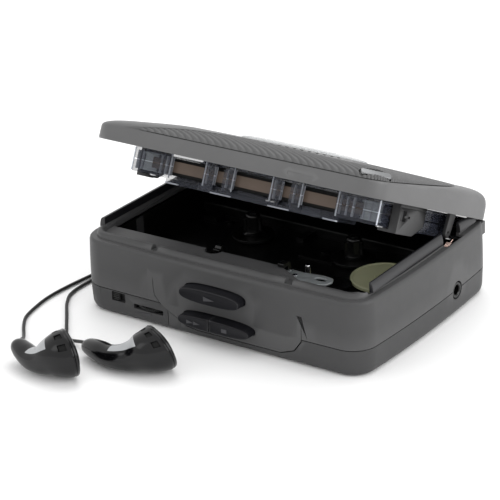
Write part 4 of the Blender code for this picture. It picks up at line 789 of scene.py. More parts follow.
def top_casing():
    """The upper half of the casing, hollow, with the well and the holes for the keys."""
    casing = body_form("top_casing_shell", "casing")
    keep = box("keep", (-70, -60, SPLIT + 0.15), (70, 60, 40), "casing")
    join(keep, tongue_block("tongue", 0.0))
    common(casing, keep)
    inner = loft("hollow", [body_outline(WALL, -1), body_outline(WALL, STRIP - STRIP_THICK)], "casing")
    well = slab("well", rounded(WELL, 2.2), 24.8, 33, "casing")
    notch = slab("stop_notch", circle((-9.6, -29.4), 3.2), 24.8, 33, "casing")
    cut(casing, inner)
    cut(casing, well, notch)
    for side, low, high in (("left", -57.2, -53.4), ("right", 53.0, 57.2)):
        cut(casing, box(side + "_seat", (low, -34.0, STRIP), (high, 44, STRIP + 6), "casing"))
    for side, low, high in (("left", -28.2, -25.6), ("right", 26.2, 29.2)):
        cut(casing, box(side + "_bead_notch", (low, FRONT + 2.8, STRIP), (high, FRONT + 7, STRIP + 6),
            "casing"))
    cut(casing, box("arm_notch", (53.0, 12.6, STRIP - 6), (HALF_LENGTH - WALL - 0.1, 23.6, STRIP + 6),
        "casing"))
    room = box("lid_room", (-70, HALF_DEPTH - 6.9, LID_FLOOR - 0.6), (70, HALF_DEPTH + 4, 50), "casing")
    room.data.transform(opening_matrix())
    cut(casing, room)
    cut(casing, *button_holes("top"))
    cut(casing, rod("jack_hole", JACK, 3.3, HALF_LENGTH - 6, HALF_LENGTH + 2, axis="X"))
    for side, sign in (("left", -1), ("right", 1)):
        inner_x, outer_x = sorted((sign * 53.9, sign * 56.6))
        join(casing, box(side + "_boss", (inner_x, HINGE[0] - 2.4, HINGE[1] - 3.0),
            (outer_x, HINGE[0] + 2.4, HINGE[1] + 1.6), "casing"))
        low, high = sorted((sign * 51.2, sign * 53.9))
        cut(casing, box(side + "_ear_room", (low, 33.0, 20.0), (high, 40.6, 30.0), "casing"))
        low, high = sorted((sign * 51.0, sign * 56.2))
        cut(casing, rod(side + "_pin_hole", HINGE, 1.25, low, high, axis="X"))
    cut(casing, box("hump_room", (-52.4, 22.0, 12.0), (52.4, 41.4, 18.0), "casing"))
    lines = [groove("left_crease", [(-26.0, 18.2), (-25.9, 15.0), (-25.5, 12.0), (-23.6, 9.8), (-22.6, 9.0)],
        FRONT + 0.35), groove("right_crease", [(34.3, 18.0), (34.3, 9.0)], FRONT + 0.35)]
    cut(casing, *lines)
    recess = [groove("side_recess", [(-32.0, 25.0), (-32.0, 21.4), (-33.0, 20.4), (-42.0, 20.4)],
        HALF_LENGTH - 0.75, 0.22, facing="X", behind=3.0)]
    cut(casing, *recess)
    return piece(bevelled(casing, 0.12, 2, 40), "casing", "casing_plastic", "top_casing")


def base_cover():
    """The lower half of the casing, with the door's opening, the wheel's slot and the switch's window."""
    base = body_form("base_cover_shell", "base")
    common(base, box("keep", (-70, -60, -1), (70, 60, SPLIT - 0.15), "base"))
    cut(base, loft("hollow", [body_outline(WALL, WALL), body_outline(WALL, 20)], "base"))
    cut(base, tongue_block("tongue_room", 0.3))
    cut(base, box("door_opening", (-DOOR_HALF - 0.3, DOOR_FRONT - 0.3, -1),
        (DOOR_HALF + 0.3, HALF_DEPTH + 2, 1.6), "base"))
    cut(base, box("panel", (-49.6, FRONT - 1, 0.9), (-15.0, FRONT + 0.5, 9.25), "base"))
    x, _, low, thick = WHEEL
    cut(base, slab("wheel_slot", rectangle((x - 6.25, low - 0.3), (x + 6.25, low + thick + 0.3), 0.5),
        FRONT - 1, FRONT + 5, "base", facing="Y"))
    x, z, wide, high = SWITCH
    cut(base, slab("switch_window", rectangle((x - wide / 2, z - high / 2), (x + wide / 2, z + high / 2), 0.3),
        FRONT - 1, FRONT + 5, "base", facing="Y"))
    cut(base, rod("jack_hole", JACK, 3.3, HALF_LENGTH - 6, HALF_LENGTH + 2, axis="X"))
    for i, (x, y) in enumerate(SCREWS):
        join(base, rod(f"post_{i}", (x, y), 3.0, 1.0, 6.0, "base"))
        cut(base, rod(f"seat_{i}", (x, y), 2.5, -1, 1.6))
        cut(base, rod(f"hole_{i}", (x, y), 1.2, 0, 5.0))
    seams = [groove("seam_a", [(12.4, 9.4), (12.4, 2.2)], HALF_LENGTH - 0.1, 0.14, "X", 3.0),
        groove("seam_b", [(21.6, 9.4), (21.6, 2.2)], HALF_LENGTH - 0.1, 0.14, "X", 3.0),
        groove("seam_c", [(-20.4, 7.4), (-20.4, 1.0)], FRONT + 0.75)]
    cut(base, *seams)
    return piece(bevelled(base, 0.12, 2, 40), "casing", "casing_plastic", "base_cover")


def underside():
    """The battery door with its grip, and the screws of the base."""
    door = body_form("battery_door_shell", "base")
    common(door, box("keep", (-DOOR_HALF, DOOR_FRONT, 0.15), (DOOR_HALF, HALF_DEPTH + 2, 1.3), "base"))
    for i in range(5):
        y = DOOR_FRONT + 4 + i * 1.6
        cut(door, box(f"grip_{i}", (-6 + i * 0.8, y, -1), (6 - i * 0.8, y + 0.8, 0.55), "base"))
    piece(bevelled(door, 0.08, 2, 40), "battery_door", "casing_plastic", "battery_door")
    for i, (x, y) in enumerate(SCREWS):
        head = turned(f"base_screw_head_{i + 1}", [(0.9, 4.4), (0.9, 1.4), (1.1, 1.2), (2.2, 1.2), (2.2, 0.7),
            (1.9, 0.4), (0.4, 0.25)][::-1], (x, y, 0), "steel", 32)
        for turn in (0, 1):
            low, high = ((-1.3, -0.28), (1.3, 0.28)) if turn else ((-0.28, -1.3), (0.28, 1.3))
            cut(head, box("slot", (x + low[0], y + low[1], 0), (x + high[0], y + high[1], 0.8), "steel"))
        piece(head, "casing", "steel", f"base_screw_{i + 1}")


def rail(name, node, inner, outer, low, high):
    floor = STRIP + 0.3
    height = 3.6
    arc = [(outer - (outer - inner) * 0.75 * (1 - math.cos(t)),
        floor + height * math.sin(t)) for t in [i * math.pi / 2 / 20 for i in range(21)]]
    made = slab(name, [(inner, floor)] + arc + [(inner, floor + height)], low, high, "rail", facing="Y")
    fall = [(27.0, floor + height + 0.2), (36.0, floor + 1.0), (36.0, floor + 6), (27.0, floor + 6)]
    cut(made, slab("fall", fall, min(inner, outer) - 1, max(inner, outer) + 1, "rail", facing="X"))
    return piece(bevelled(made, 0.25, 3, 40), "casing", "rail_plastic", node)


def rails_and_stops():
    rail("left_rail_bar", "left_rail", -53.6, -55.8, -32.8, 34.6)
    rail("right_front_rail_bar", "right_front_rail", 54.2, 55.8, -32.8, 12.4)
    rail("right_rear_rail_bar", "right_rear_rail", 54.2, 55.8, 23.8, 34.6)
    top = STRIP + 0.3
    left = [(-30.2, 19.6), (-26.4, 19.6), (-26.4, top), (-27.4, top + 1.2), (-28.6, top + 1.2),
        (-29.2, top + 0.4), (-30.2, top + 0.4)]
    right = [(-30.8, top), (-28.4, top), (-28.4, top - 1.8), (-26.6, top - 1.8), (-26.6, top + 0.3),
        (-27.6, top + 1.3), (-30.8, top + 1.3)]
    for name, outline, low, high in (("left_stop_hook", left, -9.4, -7.0),
            ("right_stop_hook", right, 17.4, 19.8)):
        hook = slab(name, rounded(outline, 0.35), low, high, "gloss", facing="X")
        piece(bevelled(hook, 0.15, 2, 40), "casing", "black_plastic",
            name.replace("stop_hook", "cassette_stop"))


def button_cap(name, outline, node, body, extra):
    """A long button: rounded front edge, slightly dished face, flange and stem behind the panel."""
    front = FRONT - 4.3 + 0.35
    back = FRONT + WALL + 0.3
    rings = []
    for inset, y in ((0.9, front + 0.12), (0.45, front), (0.2, front + 0.08), (0.06, front + 0.25),
            (0.0, front + 0.55), (0.0, back + 0.4)):
        cx = (min(p[0] for p in outline) + max(p[0] for p in outline)) / 2
        cz = (min(p[1] for p in outline) + max(p[1] for p in outline)) / 2
        half_x, half_z = max(p[0] for p in outline) - cx, max(p[1] for p in outline) - cz
        rings.append([(cx + (x - cx) * (half_x - inset) / half_x, y,
            cz + (z - cz) * (half_z - inset) / half_z) for x, z in outline])
    cap = loft(name, rings, "button", 40)
    for low, high in extra:
        join(cap, box("part", low, high, "button"))
    return piece(smooth(cap, 40), body, "button_plastic", node)


def half_lens(side):
    """Half of the lower pair's outline, with its straight end at the divide."""
    end = DIVIDE + side * 0.15
    kept = [p for p in lens(*LOWER) if (p[0] - end) * side > 0.02]
    kept.sort(key=lambda p: math.atan2(p[1] - LOWER[1], (p[0] - end) * side))
    return [(end, kept[0][1])] + kept + [(end, kept[-1][1])]


def mark(name, outlines, body, face):
    for i, outline in enumerate(outlines):
        sign = slab(f"{name}_{i + 1}", outline, face - 0.12, face + 0.3, "mark", facing="Y")
        piece(sign, body, "button_plastic")


def triangle(x, z, wide, high):
    return [(x, z - high / 2), (x + wide, z), (x, z + high / 2)]


def controls():
    """The buttons and their marks, the volume wheel, the band switch and the headphone jack."""
    back = FRONT + WALL + 0.3
    x, z, half_x, half_z = PLAY
    button_cap("play_button_cap", lens(*PLAY), "play_button", "play_button",
        [((x - half_x - 0.8, back, z - half_z - 0.8), (x + half_x + 0.8, back + 1.2, z + half_z + 0.8)),
        ((3.5, back + 0.5, 16.0), (7.5, -33.9, 19.0))])
    face = FRONT - 4.3 + 0.35 + 0.12
    mark("play_mark", [triangle(-1.9, 17.7, 4.4, 1.7)], "play_button", face)
    x, z, half_x, half_z = LOWER
    for name, side, node in (("fast_forward_cap", -1, "fast_forward_button"), ("stop_cap", 1, "stop_button")):
        end = DIVIDE + side * 0.15
        far = x + side * (half_x + 0.8)
        low, high = sorted((end, far))
        button_cap(name, half_lens(side), node, node, [((low, back, WALL + 0.6),
            (high, back + 1.2, z + half_z + 0.8))])
    mark("forward_mark", [triangle(-9.4, 7.6, 2.7, 1.4), triangle(-6.6, 7.6, 2.7, 1.4)], "fast_forward_button",
        face)
    mark("stop_mark", [rectangle((4.9, 6.9), (7.1, 8.3))], "stop_button", face)
    x, radius, low, thick = WHEEL
    y = FRONT + 0.25 + radius
    teeth = []
    for i in range(160):
        turn = 2 * math.pi * i / 160
        reach = radius - (0.28 if i % 2 else 0.0)
        teeth.append((x + reach * math.cos(turn), y + reach * math.sin(turn)))
    wheel = slab("volume_dial", teeth, low, low + thick, "gloss", bevel=0.1)
    piece(wheel, "volume_wheel", "black_plastic", "volume_wheel")
    x, z, wide, high = SWITCH
    left = x - wide / 2 + 0.2
    knob = box("band_switch_knob", (left, FRONT + 1.3, z - high / 2 + 0.3),
        (left + 2.8, FRONT + 5.0, z + high / 2 - 0.3), "rubber")
    join(knob, box("slider", (left - 1.0, FRONT + WALL + 0.6, z - high / 2 - 0.6),
        (left + 4.1, FRONT + 5.4, z + high / 2), "rubber"))
    for i in range(4):
        low_z = z - high / 2 + 0.42 + i * 0.7
        join(knob, box(f"rib_{i}", (left + 0.1, FRONT + 0.9, low_z), (left + 2.7, FRONT + 1.6, low_z + 0.36),
            "rubber"))
    piece(bevelled(knob, 0.08, 2, 40), "band_switch", "rubber", "band_switch")
    y, z = JACK
    jack = turned("jack_socket", [(1.8, 47.5), (1.8, 58.2), (2.1, 58.5), (2.7, 58.5), (3.0, 58.2),
        (3.0, 50.0)][::-1], (0, y, z), "gloss", 48, "X")
    piece(jack, "casing", "black_plastic", "headphone_jack")
    # Flat black disc at the bottom of the jack: painted shade for the depth of the hole.
    tip = turned("jack_bottom_shade_paint", [(0.2, 48.0), (1.5, 48.4), (1.5, 50.2), (0.4, 50.6)], (0, y, z), "painted_shade", 24,
        "X")
    piece(tip, "casing", "black_plastic")
    wedge = slab("volume_wedge", [(-34.2, 3.35), (-27.6, 3.35), (-27.6, 4.15)], FRONT + 0.32, FRONT + 0.7,
        "mark", facing="Y")
    piece(wedge, "casing", "casing_plastic")
    # Flat black sheet behind the switch's window: painted shade in the recess beside the knob.
    window_shade_paint = box("switch_well_shade_paint", (-45.2, FRONT + 5.6, 5.0), (-37.6, FRONT + 6.0, 9.4), "painted_shade", 0.1)
    piece(window_shade_paint, "casing", "black_plastic")


# ---------------------------------------------------------------- well and drive

GEAR_FLOOR = DECK_TOP + 0.4
GEAR_THICK = 1.5
GEAR_GAP = 0.1
STUB_RADIUS = 1.5
PINION_RADIUS = 4.0
IDLER_RADIUS = 5.5
IDLER_TEETH = 30
DRIVE_RADIUS = 11.6
DRIVE_GEAR = (38.7, 1.6)
IDLER_SHARE = (PINION_RADIUS + GEAR_GAP + IDLER_RADIUS) / math.dist(CAPSTAN, DRIVE_GEAR)
IDLER = tuple(a + (b - a) * IDLER_SHARE for a, b in zip(CAPSTAN, DRIVE_GEAR))
SPINDLE_RADIUS = math.dist(HUB, DRIVE_GEAR) - DRIVE_RADIUS - GEAR_GAP


def deck():
    """The deck plate and the floor of the well, with the bearings, the screws and the battery room."""
    plate = loft("deck_floor", [body_outline(WALL + 0.3, DECK_FLOOR), body_outline(WALL + 0.3, DECK_TOP)],
        "well")
    join(plate, box("hump", (-52.0, 22.6, DECK_FLOOR + 0.2), (52.0, 40.9, 17.5), "well", 0.8))
    cut(plate, box("battery_room", (-51.3, 23.3, 10), (51.3, 40.2, 16.8), "well"))
    join(plate, box("left_wall", (-53.6, -29.5, DECK_TOP - 0.5), (-52.8, 33.0, 24.6), "well"),
        box("right_wall", (54.5, -36.0, DECK_TOP - 0.5), (55.3, 33.0, 20.6), "well"))
    for name, place, radius in (("capstan", CAPSTAN, 1.05), ("idler", IDLER, 1.55), ("drive", DRIVE_GEAR, 1.55),
            ("left", (-HUB[0], HUB[1]), 1.55), ("right", HUB, 1.55)):
        cut(plate, rod(name + "_bearing", place, radius, DECK_FLOOR - 1, DECK_TOP + 1))
    for x, y, wide, deep, high in ((-47.0, -26.0, 8.0, 3.0, 1.4), (-46.0, 14.0, 6.0, 6.0, 2.0),
            (-30.0, -12.0, 5.0, 5.0, 1.2), (2.0, -6.0, 14.0, 1.2, 0.8), (2.0, 4.0, 14.0, 1.2, 0.8),
            (46.0, -30.0, 8.0, 5.0, 1.6), (-6.0, 15.0, 3.0, 8.0, 1.6), (44.0, 17.0, 9.0, 6.0, 2.4)):
        join(plate, box("pad", (x, y, DECK_TOP - 0.4), (x + wide, y + deep, DECK_TOP + high), "well"))
    piece(bevelled(plate, 0.15, 2, 40), "casing", "black_plastic", "deck_plate")
    for i, (x, y) in enumerate([(-40.0, -22.0), (8.0, 12.0), (-36.0, 17.0), (50.0, -10.0)]):
        screw = turned(f"deck_screw_{i + 1}", [(1.8, 14.05), (1.8, 14.5), (1.3, 14.85), (0.3, 14.95)],
            (x, y, 0), "gloss", 32)
        cut(screw, box("slot", (x - 1.2, y - 0.22, 14.55), (x + 1.2, y + 0.22, 15.2), "gloss"))
        piece(screw, "casing", "black_plastic")
    # Paler grey strip on the well's left wall: painted light, where light falls in through a gap.
    strip = box("well_painted_light_strip", (-52.7, -16.6, 18.0), (-52.45, -12.6, 24.4), "holder", 0.1)
    piece(strip, "casing", "black_plastic")


def idler():
    """The toothed wheel between the capstan's pinion and the drive gear."""
    outline = []
    for i in range(IDLER_TEETH):
        for part, reach in ((0.0, -0.45), (0.3, -0.02), (0.55, -0.02), (0.85, -0.45)):
            turn = 2 * math.pi * (i + part) / IDLER_TEETH
            outline.append((IDLER[0] + (IDLER_RADIUS + reach) * math.cos(turn),
                IDLER[1] + (IDLER_RADIUS + reach) * math.sin(turn)))
    wheel = slab("idler_wheel", outline, GEAR_FLOOR, GEAR_FLOOR + GEAR_THICK, "gloss")
    join(wheel, rod("stub", IDLER, STUB_RADIUS, DECK_FLOOR + 0.4, GEAR_FLOOR + 0.5, "gloss"))
    piece(smooth(wheel, 35), "idler_gear", "black_plastic", "idler_gear")


def spindle(name, x, node):
    """A post on its wheel, with three fins that grip the hub."""
    post = turned(name, [(SPINDLE_RADIUS - 0.5, GEAR_FLOOR), (SPINDLE_RADIUS, GEAR_FLOOR + 0.3),
        (SPINDLE_RADIUS, GEAR_FLOOR + 1.3), (SPINDLE_RADIUS - 0.4, GEAR_FLOOR + 1.5), (3.6, GEAR_FLOOR + 1.5),
        (3.2, GEAR_FLOOR + 2.0), (2.8, GEAR_FLOOR + 2.4), (2.8, 22.4), (2.5, 23.2), (2.0, 23.7), (1.2, 24.0)],
        (x, HUB[1], 0), "gloss", 48)
    join(post, rod("stub", (x, HUB[1]), STUB_RADIUS, DECK_FLOOR + 0.4, GEAR_FLOOR + 0.4, "gloss"))
    for i in range(3):
        fin = box("fin", (0, -0.5, 17.55), (3.7, 0.5, 22.1), "gloss")
        fin.data.transform(Matrix.Translation((x * MM, HUB[1] * MM, 0)) @ Matrix.Rotation(i * 2 * math.pi / 3,
            4, "Z"))
        join(post, fin)
    return piece(bevelled(post, 0.1, 2, 40), node, "black_plastic", node)


def mechanism():
    """The drive's wheels and shafts, the head on its plate, the pinch arm with its roller, and the springs."""
    idler()
    disc = turned("drive_disc", [(1.5, 13.0), (1.5, 14.4), (11.3, 14.4), (11.6, 14.7), (11.6, 15.6),
        (11.3, 15.9), (10.9, 15.9), (10.6, 15.6), (3.4, 15.6), (3.1, 15.9), (2.4, 15.9), (2.3, 16.4),
        (0.3, 16.5)], (*DRIVE_GEAR, 0), "cream", 96)
    piece(disc, "drive_gear", "cream_plastic", "drive_gear")
    spindle("left_spindle_post", -HUB[0], "left_spindle")
    spindle("right_spindle_post", HUB[0], "right_spindle")
    shaft = turned("capstan_pin", [(1.0, 4.0), (1.0, 14.4), (4.0, 14.4), (4.0, 15.9), (1.6, 15.9), (1.5, 16.6),
        (1.0, 16.7), (1.0, 23.8), (0.8, 24.2)], (*CAPSTAN, 0), "steel", 32)
    piece(shaft, "flywheel", "steel", "capstan_shaft")
    plate = slab("head_slide_plate", [rounded([(-34, -33.5), (34, -33.5), (34, -29.6), (-34, -29.6)], 1.0),
        circle((-20, -31.5), 1.0), circle((12, -31.5), 1.0)], 14.4, 15.4, "zinc", bevel=0.08)
    piece(plate, "head_plate", "zinc", "head_plate")
    head = box("tape_head", (-5.5, -31.1, 18.5), (5.5, -25.7, 24.7), "steel", 0.7)
    join(head, box("mount", (-5.5, -33.1, 15.7), (5.5, -30.2, 19.2), "steel"))
    for z in (20.2, 21.6, 23.0):
        cut(head, box("track", (-1.2, -25.9, z), (1.2, -25.4, z + 0.5), "steel"))
    piece(smooth(head, 35), "head_plate", "steel", "playback_head")
    outline = [(18.6, -30.6), (20.2, -32.4), (27.7, -32.8), (32.2, -32.9), (36.4, -31.4), (37.4, -28.6),
        (36.2, -25.9), (32.0, -25.4), (25.4, -26.6), (20.0, -26.4), (18.6, -27.6)]
    hole = [(33.0 + 2.2 * math.cos(t),
        -28.6 + 1.1 * math.sin(t)) for t in [2 * math.pi * i / 32 for i in range(32)]]
    arm = slab("pinch_arm_plate", [rounded(outline, 1.2), hole, circle((20.6, -28.0), 0.45, 20)], 24.7, 25.3,
        "zinc", bevel=0.08)
    piece(arm, "pinch_arm", "zinc", "pinch_arm")
    rivet = turned("arm_rivet", [(0.9, 24.9), (0.9, 25.35), (0.6, 25.5), (0.2, 25.52)], (23.4, -29.6, 0),
        "steel", 24)
    piece(rivet, "pinch_arm", "zinc")
    roller = turned("rubber_roller", [(0.9, 19.4), (3.3, 19.4), (3.6, 19.7), (3.6, 24.1), (3.3, 24.4),
        (0.9, 24.4)], (CAPSTAN[0], -29.0, 0), "rubber", 48)
    piece(roller, "pinch_roller", "rubber", "pinch_roller")
    spring = [(54.5, 20.8, 25.6), (54.5, 19.4, 25.0), (54.5, 18.1, 24.4)]
    for i in range(1, 65):
        turn = 2 * math.pi * i / 16
        spring.append((54.5 + 0.5 * i / 16, 16.4 + 1.7 * math.cos(turn), 24.4 + 1.7 * math.sin(turn)))
    piece(solid_tube("lid_spring_coil", spring, 0.26, "copper"), "casing", "copper", "arm_spring")


# ---------------------------------------------------------------- lid

LID_LEVELS = [(0.7, 26.9), (0.5, 27.4), (0.55, 29.5), (0.6, 31.5), (0.78, 32.6), (1.1, 33.6), (1.5, 34.35),
    (2.0, 34.9), (2.6, 35.4), (3.4, 35.8), (4.3, 36.15), (5.4, 36.4), (7.0, 36.65), (9.0, 36.8)]
INLAY_EDGE = [(-43.5, -42.25), (-35.0, -41.5), (-26.0, -40.5), (-18.0, -39.2), (-11.0, -37.8), (-1.0, -34.6),
    (9.0, -29.4), (18.0, -22.0), (24.5, -12.0), (28.0, 0.0), (29.5, 14.0), (30.0, 45.0)]
RIB_PITCH = 1.0
RIB_TURN = 19.0
RIB_DEPTH = 0.4
WINDOW_HALF = (20.0, 12.0)
WINDOW_MIDDLE = (0.0, 4.0)


def crowned(points, crown=LID_CROWN):
    """The lid's top rises by crown in its middle and falls away towards its front left end."""
    moved = []
    for x, y, z in points:
        outward = min((x / HALF_LENGTH) ** 2 + (y / HALF_DEPTH) ** 2, 1.0)
        leftward = max(-36.0 - 0.824 * x - 0.566 * y, 0.0) / 32.0
        rise = crown * (1 - outward) - LID_FALL * leftward ** 1.5
        above = max(z - LID_SHOULDER, 0.0)
        moved.append((x, y, z + above * rise / (LID_TOP - LID_SHOULDER)))
    return moved


def lid_form(name, inset, drop, look):
    levels = LID_LEVELS + [(edge, LID_TOP) for edge in (12.5, 16.0, 20.0, 24.0, 28.0, 32.0, 36.0)]
    return loft(name, [crowned(body_outline(edge + inset, height - drop, 16, 32)) for edge, height in levels],
        look)


def inlay_prism(name, grow):
    edge = [tuple(p[:2]) for p in smooth_route([(x, y, 0) for x, y in INLAY_EDGE], 40)]
    outline = [(x - grow, y + grow) for x, y in edge] + [(62.0, 45.0), (62.0, -46.0),
        (INLAY_EDGE[0][0] - grow, -46.0)]
    prism = slab(name, outline, 30.0, 45.0, "ribbed")
    under = [(-60, 20), (60, 20), (60, 39.0 - grow), (FRONT, 32.4 - grow), (-60, 32.4 - grow)]
    return cut(prism, slab(name + "_floor", under, -70, 70, "ribbed", facing="X"))


def badge_outline(grow):
    return rectangle((-5.3 - grow, -1.2 - grow), (5.3 + grow, 1.2 + grow), 1.15, 8)


def badge_place():
    return (Matrix.Translation(Vector((53.2, -37.4, 34.75)) * MM) @ Matrix.Rotation(math.radians(52), 4,
        "Z") @ Matrix.Rotation(math.radians(38), 4, "X"))


def lid_inlay():
    """Ribbed strip: rings of the lid's form, sunk by the ribs' wave, cut to the inlay's outline."""
    lean = math.radians(-RIB_TURN)
    levels = [tuple(p[:2]) for p in smooth_route([(a, b, 0) for a, b in LID_LEVELS[3:]], 36)]
    levels += [(9.0 + 1.35 * i, LID_TOP) for i in range(1, 22)]
    rings = []
    for index, (inset, height) in enumerate(levels):
        before, after = levels[max(index - 1, 0)], levels[min(index + 1, len(levels) - 1)]
        lift, reach = after[1] - before[1], after[0] - before[0]
        size = math.hypot(lift, reach)
        ring = []
        for x, y, z in crowned(body_outline(inset, height, 60, 420)):
            s = -x * math.sin(lean) + y * math.cos(lean)
            wave = abs(((s / RIB_PITCH) % 1.0) * 2 - 1)
            sink = 0.02 + RIB_DEPTH * min(max(1.5 * wave - 0.5, 0.0), 1.0)
            near = Vector((max(abs(x) - 48, 0) * math.copysign(1, x),
                max(abs(y) - 34, 0) * math.copysign(1, y)))
            out = near.normalized() if near.length > 0 else Vector((0, 0))
            ring.append((x - out.x * sink * lift / size, y - out.y * sink * lift / size,
                z - sink * max(reach / size, 0.0)))
        rings.append(ring)
    skin = loft("ribbed_inlay", rings, "ribbed")
    common(skin, inlay_prism("inlay", -0.15))
    cut(skin, lid_form("core", 0.5, 0.5, "ribbed"))
    gap = slab("badge_gap", badge_outline(0.3), -2.0, 3.0, "ribbed")
    gap.data.transform(badge_place())
    cut(skin, gap)
    return on_lid(smooth(skin, 50), "lid", "lid_plastic", "lid_inlay")


PANE_ROOM = 0.15
PANE_LEDGE = 2.0
EAR_SPAN = (51.6, 53.6)


def lid():
    """The lid's cover with its window, badge and inlay, the tray that holds the cassette, and the lift arm."""
    cover = lid_form("lid_shell", 0.0, 0.0, "lid")
    inner = [(1.7, 24.9), (1.8, 32.0), (3.0, 33.4), (6.0, 34.4), (16.0, 34.4), (24.0, 34.4), (36.0, 34.4)]
    cut(cover, loft("hollow", [crowned(body_outline(inset, height), 0.0) for inset, height in inner], "lid"))
    recess = inlay_prism("recess", 0.15)
    cut(recess, lid_form("recess_core", 0.65, 0.65, "lid"))
    cut(cover, recess)
    half_x, half_y = WINDOW_HALF[0] + PANE_ROOM, WINDOW_HALF[1] + PANE_ROOM
    x, y = WINDOW_MIDDLE
    cut(cover, slab("window_recess", rectangle((x - half_x, y - half_y), (x + half_x, y + half_y), 3.0),
        WINDOW_TOP - 1.0, WINDOW_TOP + 2, "lid"), slab("window_hole",
        rectangle((x - half_x + PANE_LEDGE, y - half_y + PANE_LEDGE),
        (x + half_x - PANE_LEDGE, y + half_y - PANE_LEDGE), 2.0), LID_TOP - 4, WINDOW_TOP + 2, "lid"))
    badge_room = slab("badge_room", badge_outline(0.15), -0.8, 3.0, "lid")
    badge_room.data.transform(badge_place())
    cut(cover, badge_room)
    for sign in (-1, 1):
        low, high = sorted(sign * end for end in EAR_SPAN)
        ear = slab("ear", rounded([(HINGE[0] - 2.4, 21.9), (HINGE[0] + 2.4, 21.9), (HINGE[0] + 2.4, 35.2),
            (HINGE[0] - 4.0, 35.2)], 1.6), low, high, "lid", facing="X")
        join(cover, ear)
        cut(cover, rod("ear_hole", HINGE, 1.25, low - 1, high + 1, axis="X"))
    tab = groove("tab_line", [(24.0, 28.6), (24.0, 29.6), (34.0, 29.6), (34.0, 28.6)], FRONT + 0.75, 0.12)
    cut(cover, tab)
    on_lid(bevelled(cover, 0.12, 2, 40), "lid", "lid_plastic", "lid_cover")
    lid_inlay()
    rings = []
    for shrink, height in ((0.1, WINDOW_TOP - 0.8), (0.0, WINDOW_TOP - 0.6), (0.0, WINDOW_TOP + 0.2),
            (0.25, WINDOW_TOP + 0.55), (0.8, WINDOW_TOP + 0.72), (3.0, WINDOW_TOP + 1.1),
            (7.0, WINDOW_TOP + 1.37), (10.0, WINDOW_TOP + 1.4)):
        hx, hy = WINDOW_HALF[0] - shrink, WINDOW_HALF[1] - shrink
        rings.append([(*p, height) for p in rectangle((x - hx, y - hy), (x + hx, y + hy), 3.0, 10)])
    on_lid(loft("window_pane", rings, "window"), "lid", "window_plastic", "lid_window")
    frame_outer = rectangle((x - half_x + 0.05, y - half_y + 0.05), (x + half_x - 0.05, y + half_y - 0.05), 3.0,
        10)
    frame_inner = rectangle((x - half_x + PANE_LEDGE, y - half_y + PANE_LEDGE),
        (x + half_x - PANE_LEDGE, y + half_y - PANE_LEDGE), 2.0, 10)
    bezel = slab("window_bezel", [frame_outer, frame_inner], WINDOW_TOP - 0.99, WINDOW_TOP - 0.84, "chrome")
    on_lid(bezel, "lid", "window_plastic")
    badge = slab("badge_plate", badge_outline(0.0), -0.5, 0.25, "chrome", bevel=0.18)
    badge.data.transform(badge_place())
    on_lid(badge, "lid", "zinc", "lid_badge")
    hold = box("holder_tray", (-52.1, -17.5, 29.4), (52.1, 30.0, 30.4), "holder")
    cut(hold, box("tray_window", (-40, -10, 28), (40, 24, 33), "holder"))
    for px in (-46.0, 45.0):
        join(hold, box("post", (px - 2, -6, 29.9), (px + 2, 20, 34.1), "holder"))
    block = [(-17.5, 16.9), (-6.5, 16.9), (0.4, 20.4), (0.4, 29.9), (-17.5, 29.9)]
    join(hold, slab("right_block", block, 50.7, 53.8, "holder", facing="X"),
        slab("left_block", block, -52.1, -50.7, "holder", facing="X"),
        box("right_lip", (46.8, -17.5, 16.9), (51.2, -14.6, 17.85), "holder"),
        box("left_lip", (-51.2, -17.5, 16.9), (-46.8, -14.6, 17.85), "holder"))
    cut(hold, box("slot", (52.6, -16.6, 21.2), (54.5, -12.8, 24.8), "holder"),
        box("slot_b", (53.3, -16.6, 22.4), (54.5, -10.0, 23.2), "holder"),
        box("block_seam", (53.5, -18.0, 25.6), (54.5, 1.0, 25.9), "holder"))
    on_lid(bevelled(hold, 0.15, 2, 40), "lid", "lid_plastic", "cassette_holder")
    # Black sheets of painted shade in the gap between the tray and the cassette, where the lid's inside is in
    # shade.
    for name, low, high in (("left_gap_shade_paint", (-52.0, -17.4, 27.0), (-35.6, -16.9, 29.4)),
            ("middle_gap_shade_paint", (-35.6, -17.4, 28.65), (35.6, -16.9, 29.4)),
            ("upper_gap_shade_paint", (-55.0, -17.4, 30.4), (55.0, -16.9, 34.2))):
        on_lid(box(name, low, high, "painted_shade"), "lid", "black_plastic")
    arm = slab("lid_lift_arm", rounded([(17.4, 19.4), (19.2, 18.2), (21.0, 19.8), (22.6, 29.0), (22.6, 33.6),
        (18.0, 33.6), (18.0, 26.0)], 0.8), 52.4, 53.6, "holder", facing="X", bevel=0.1)
    cut(arm, rod("eye", (19.2, 20.4), 0.5, 50, 56, axis="X"))
    on_lid(arm, "lid", "lid_plastic", "lid_arm")


# ---------------------------------------------------------------- cassette

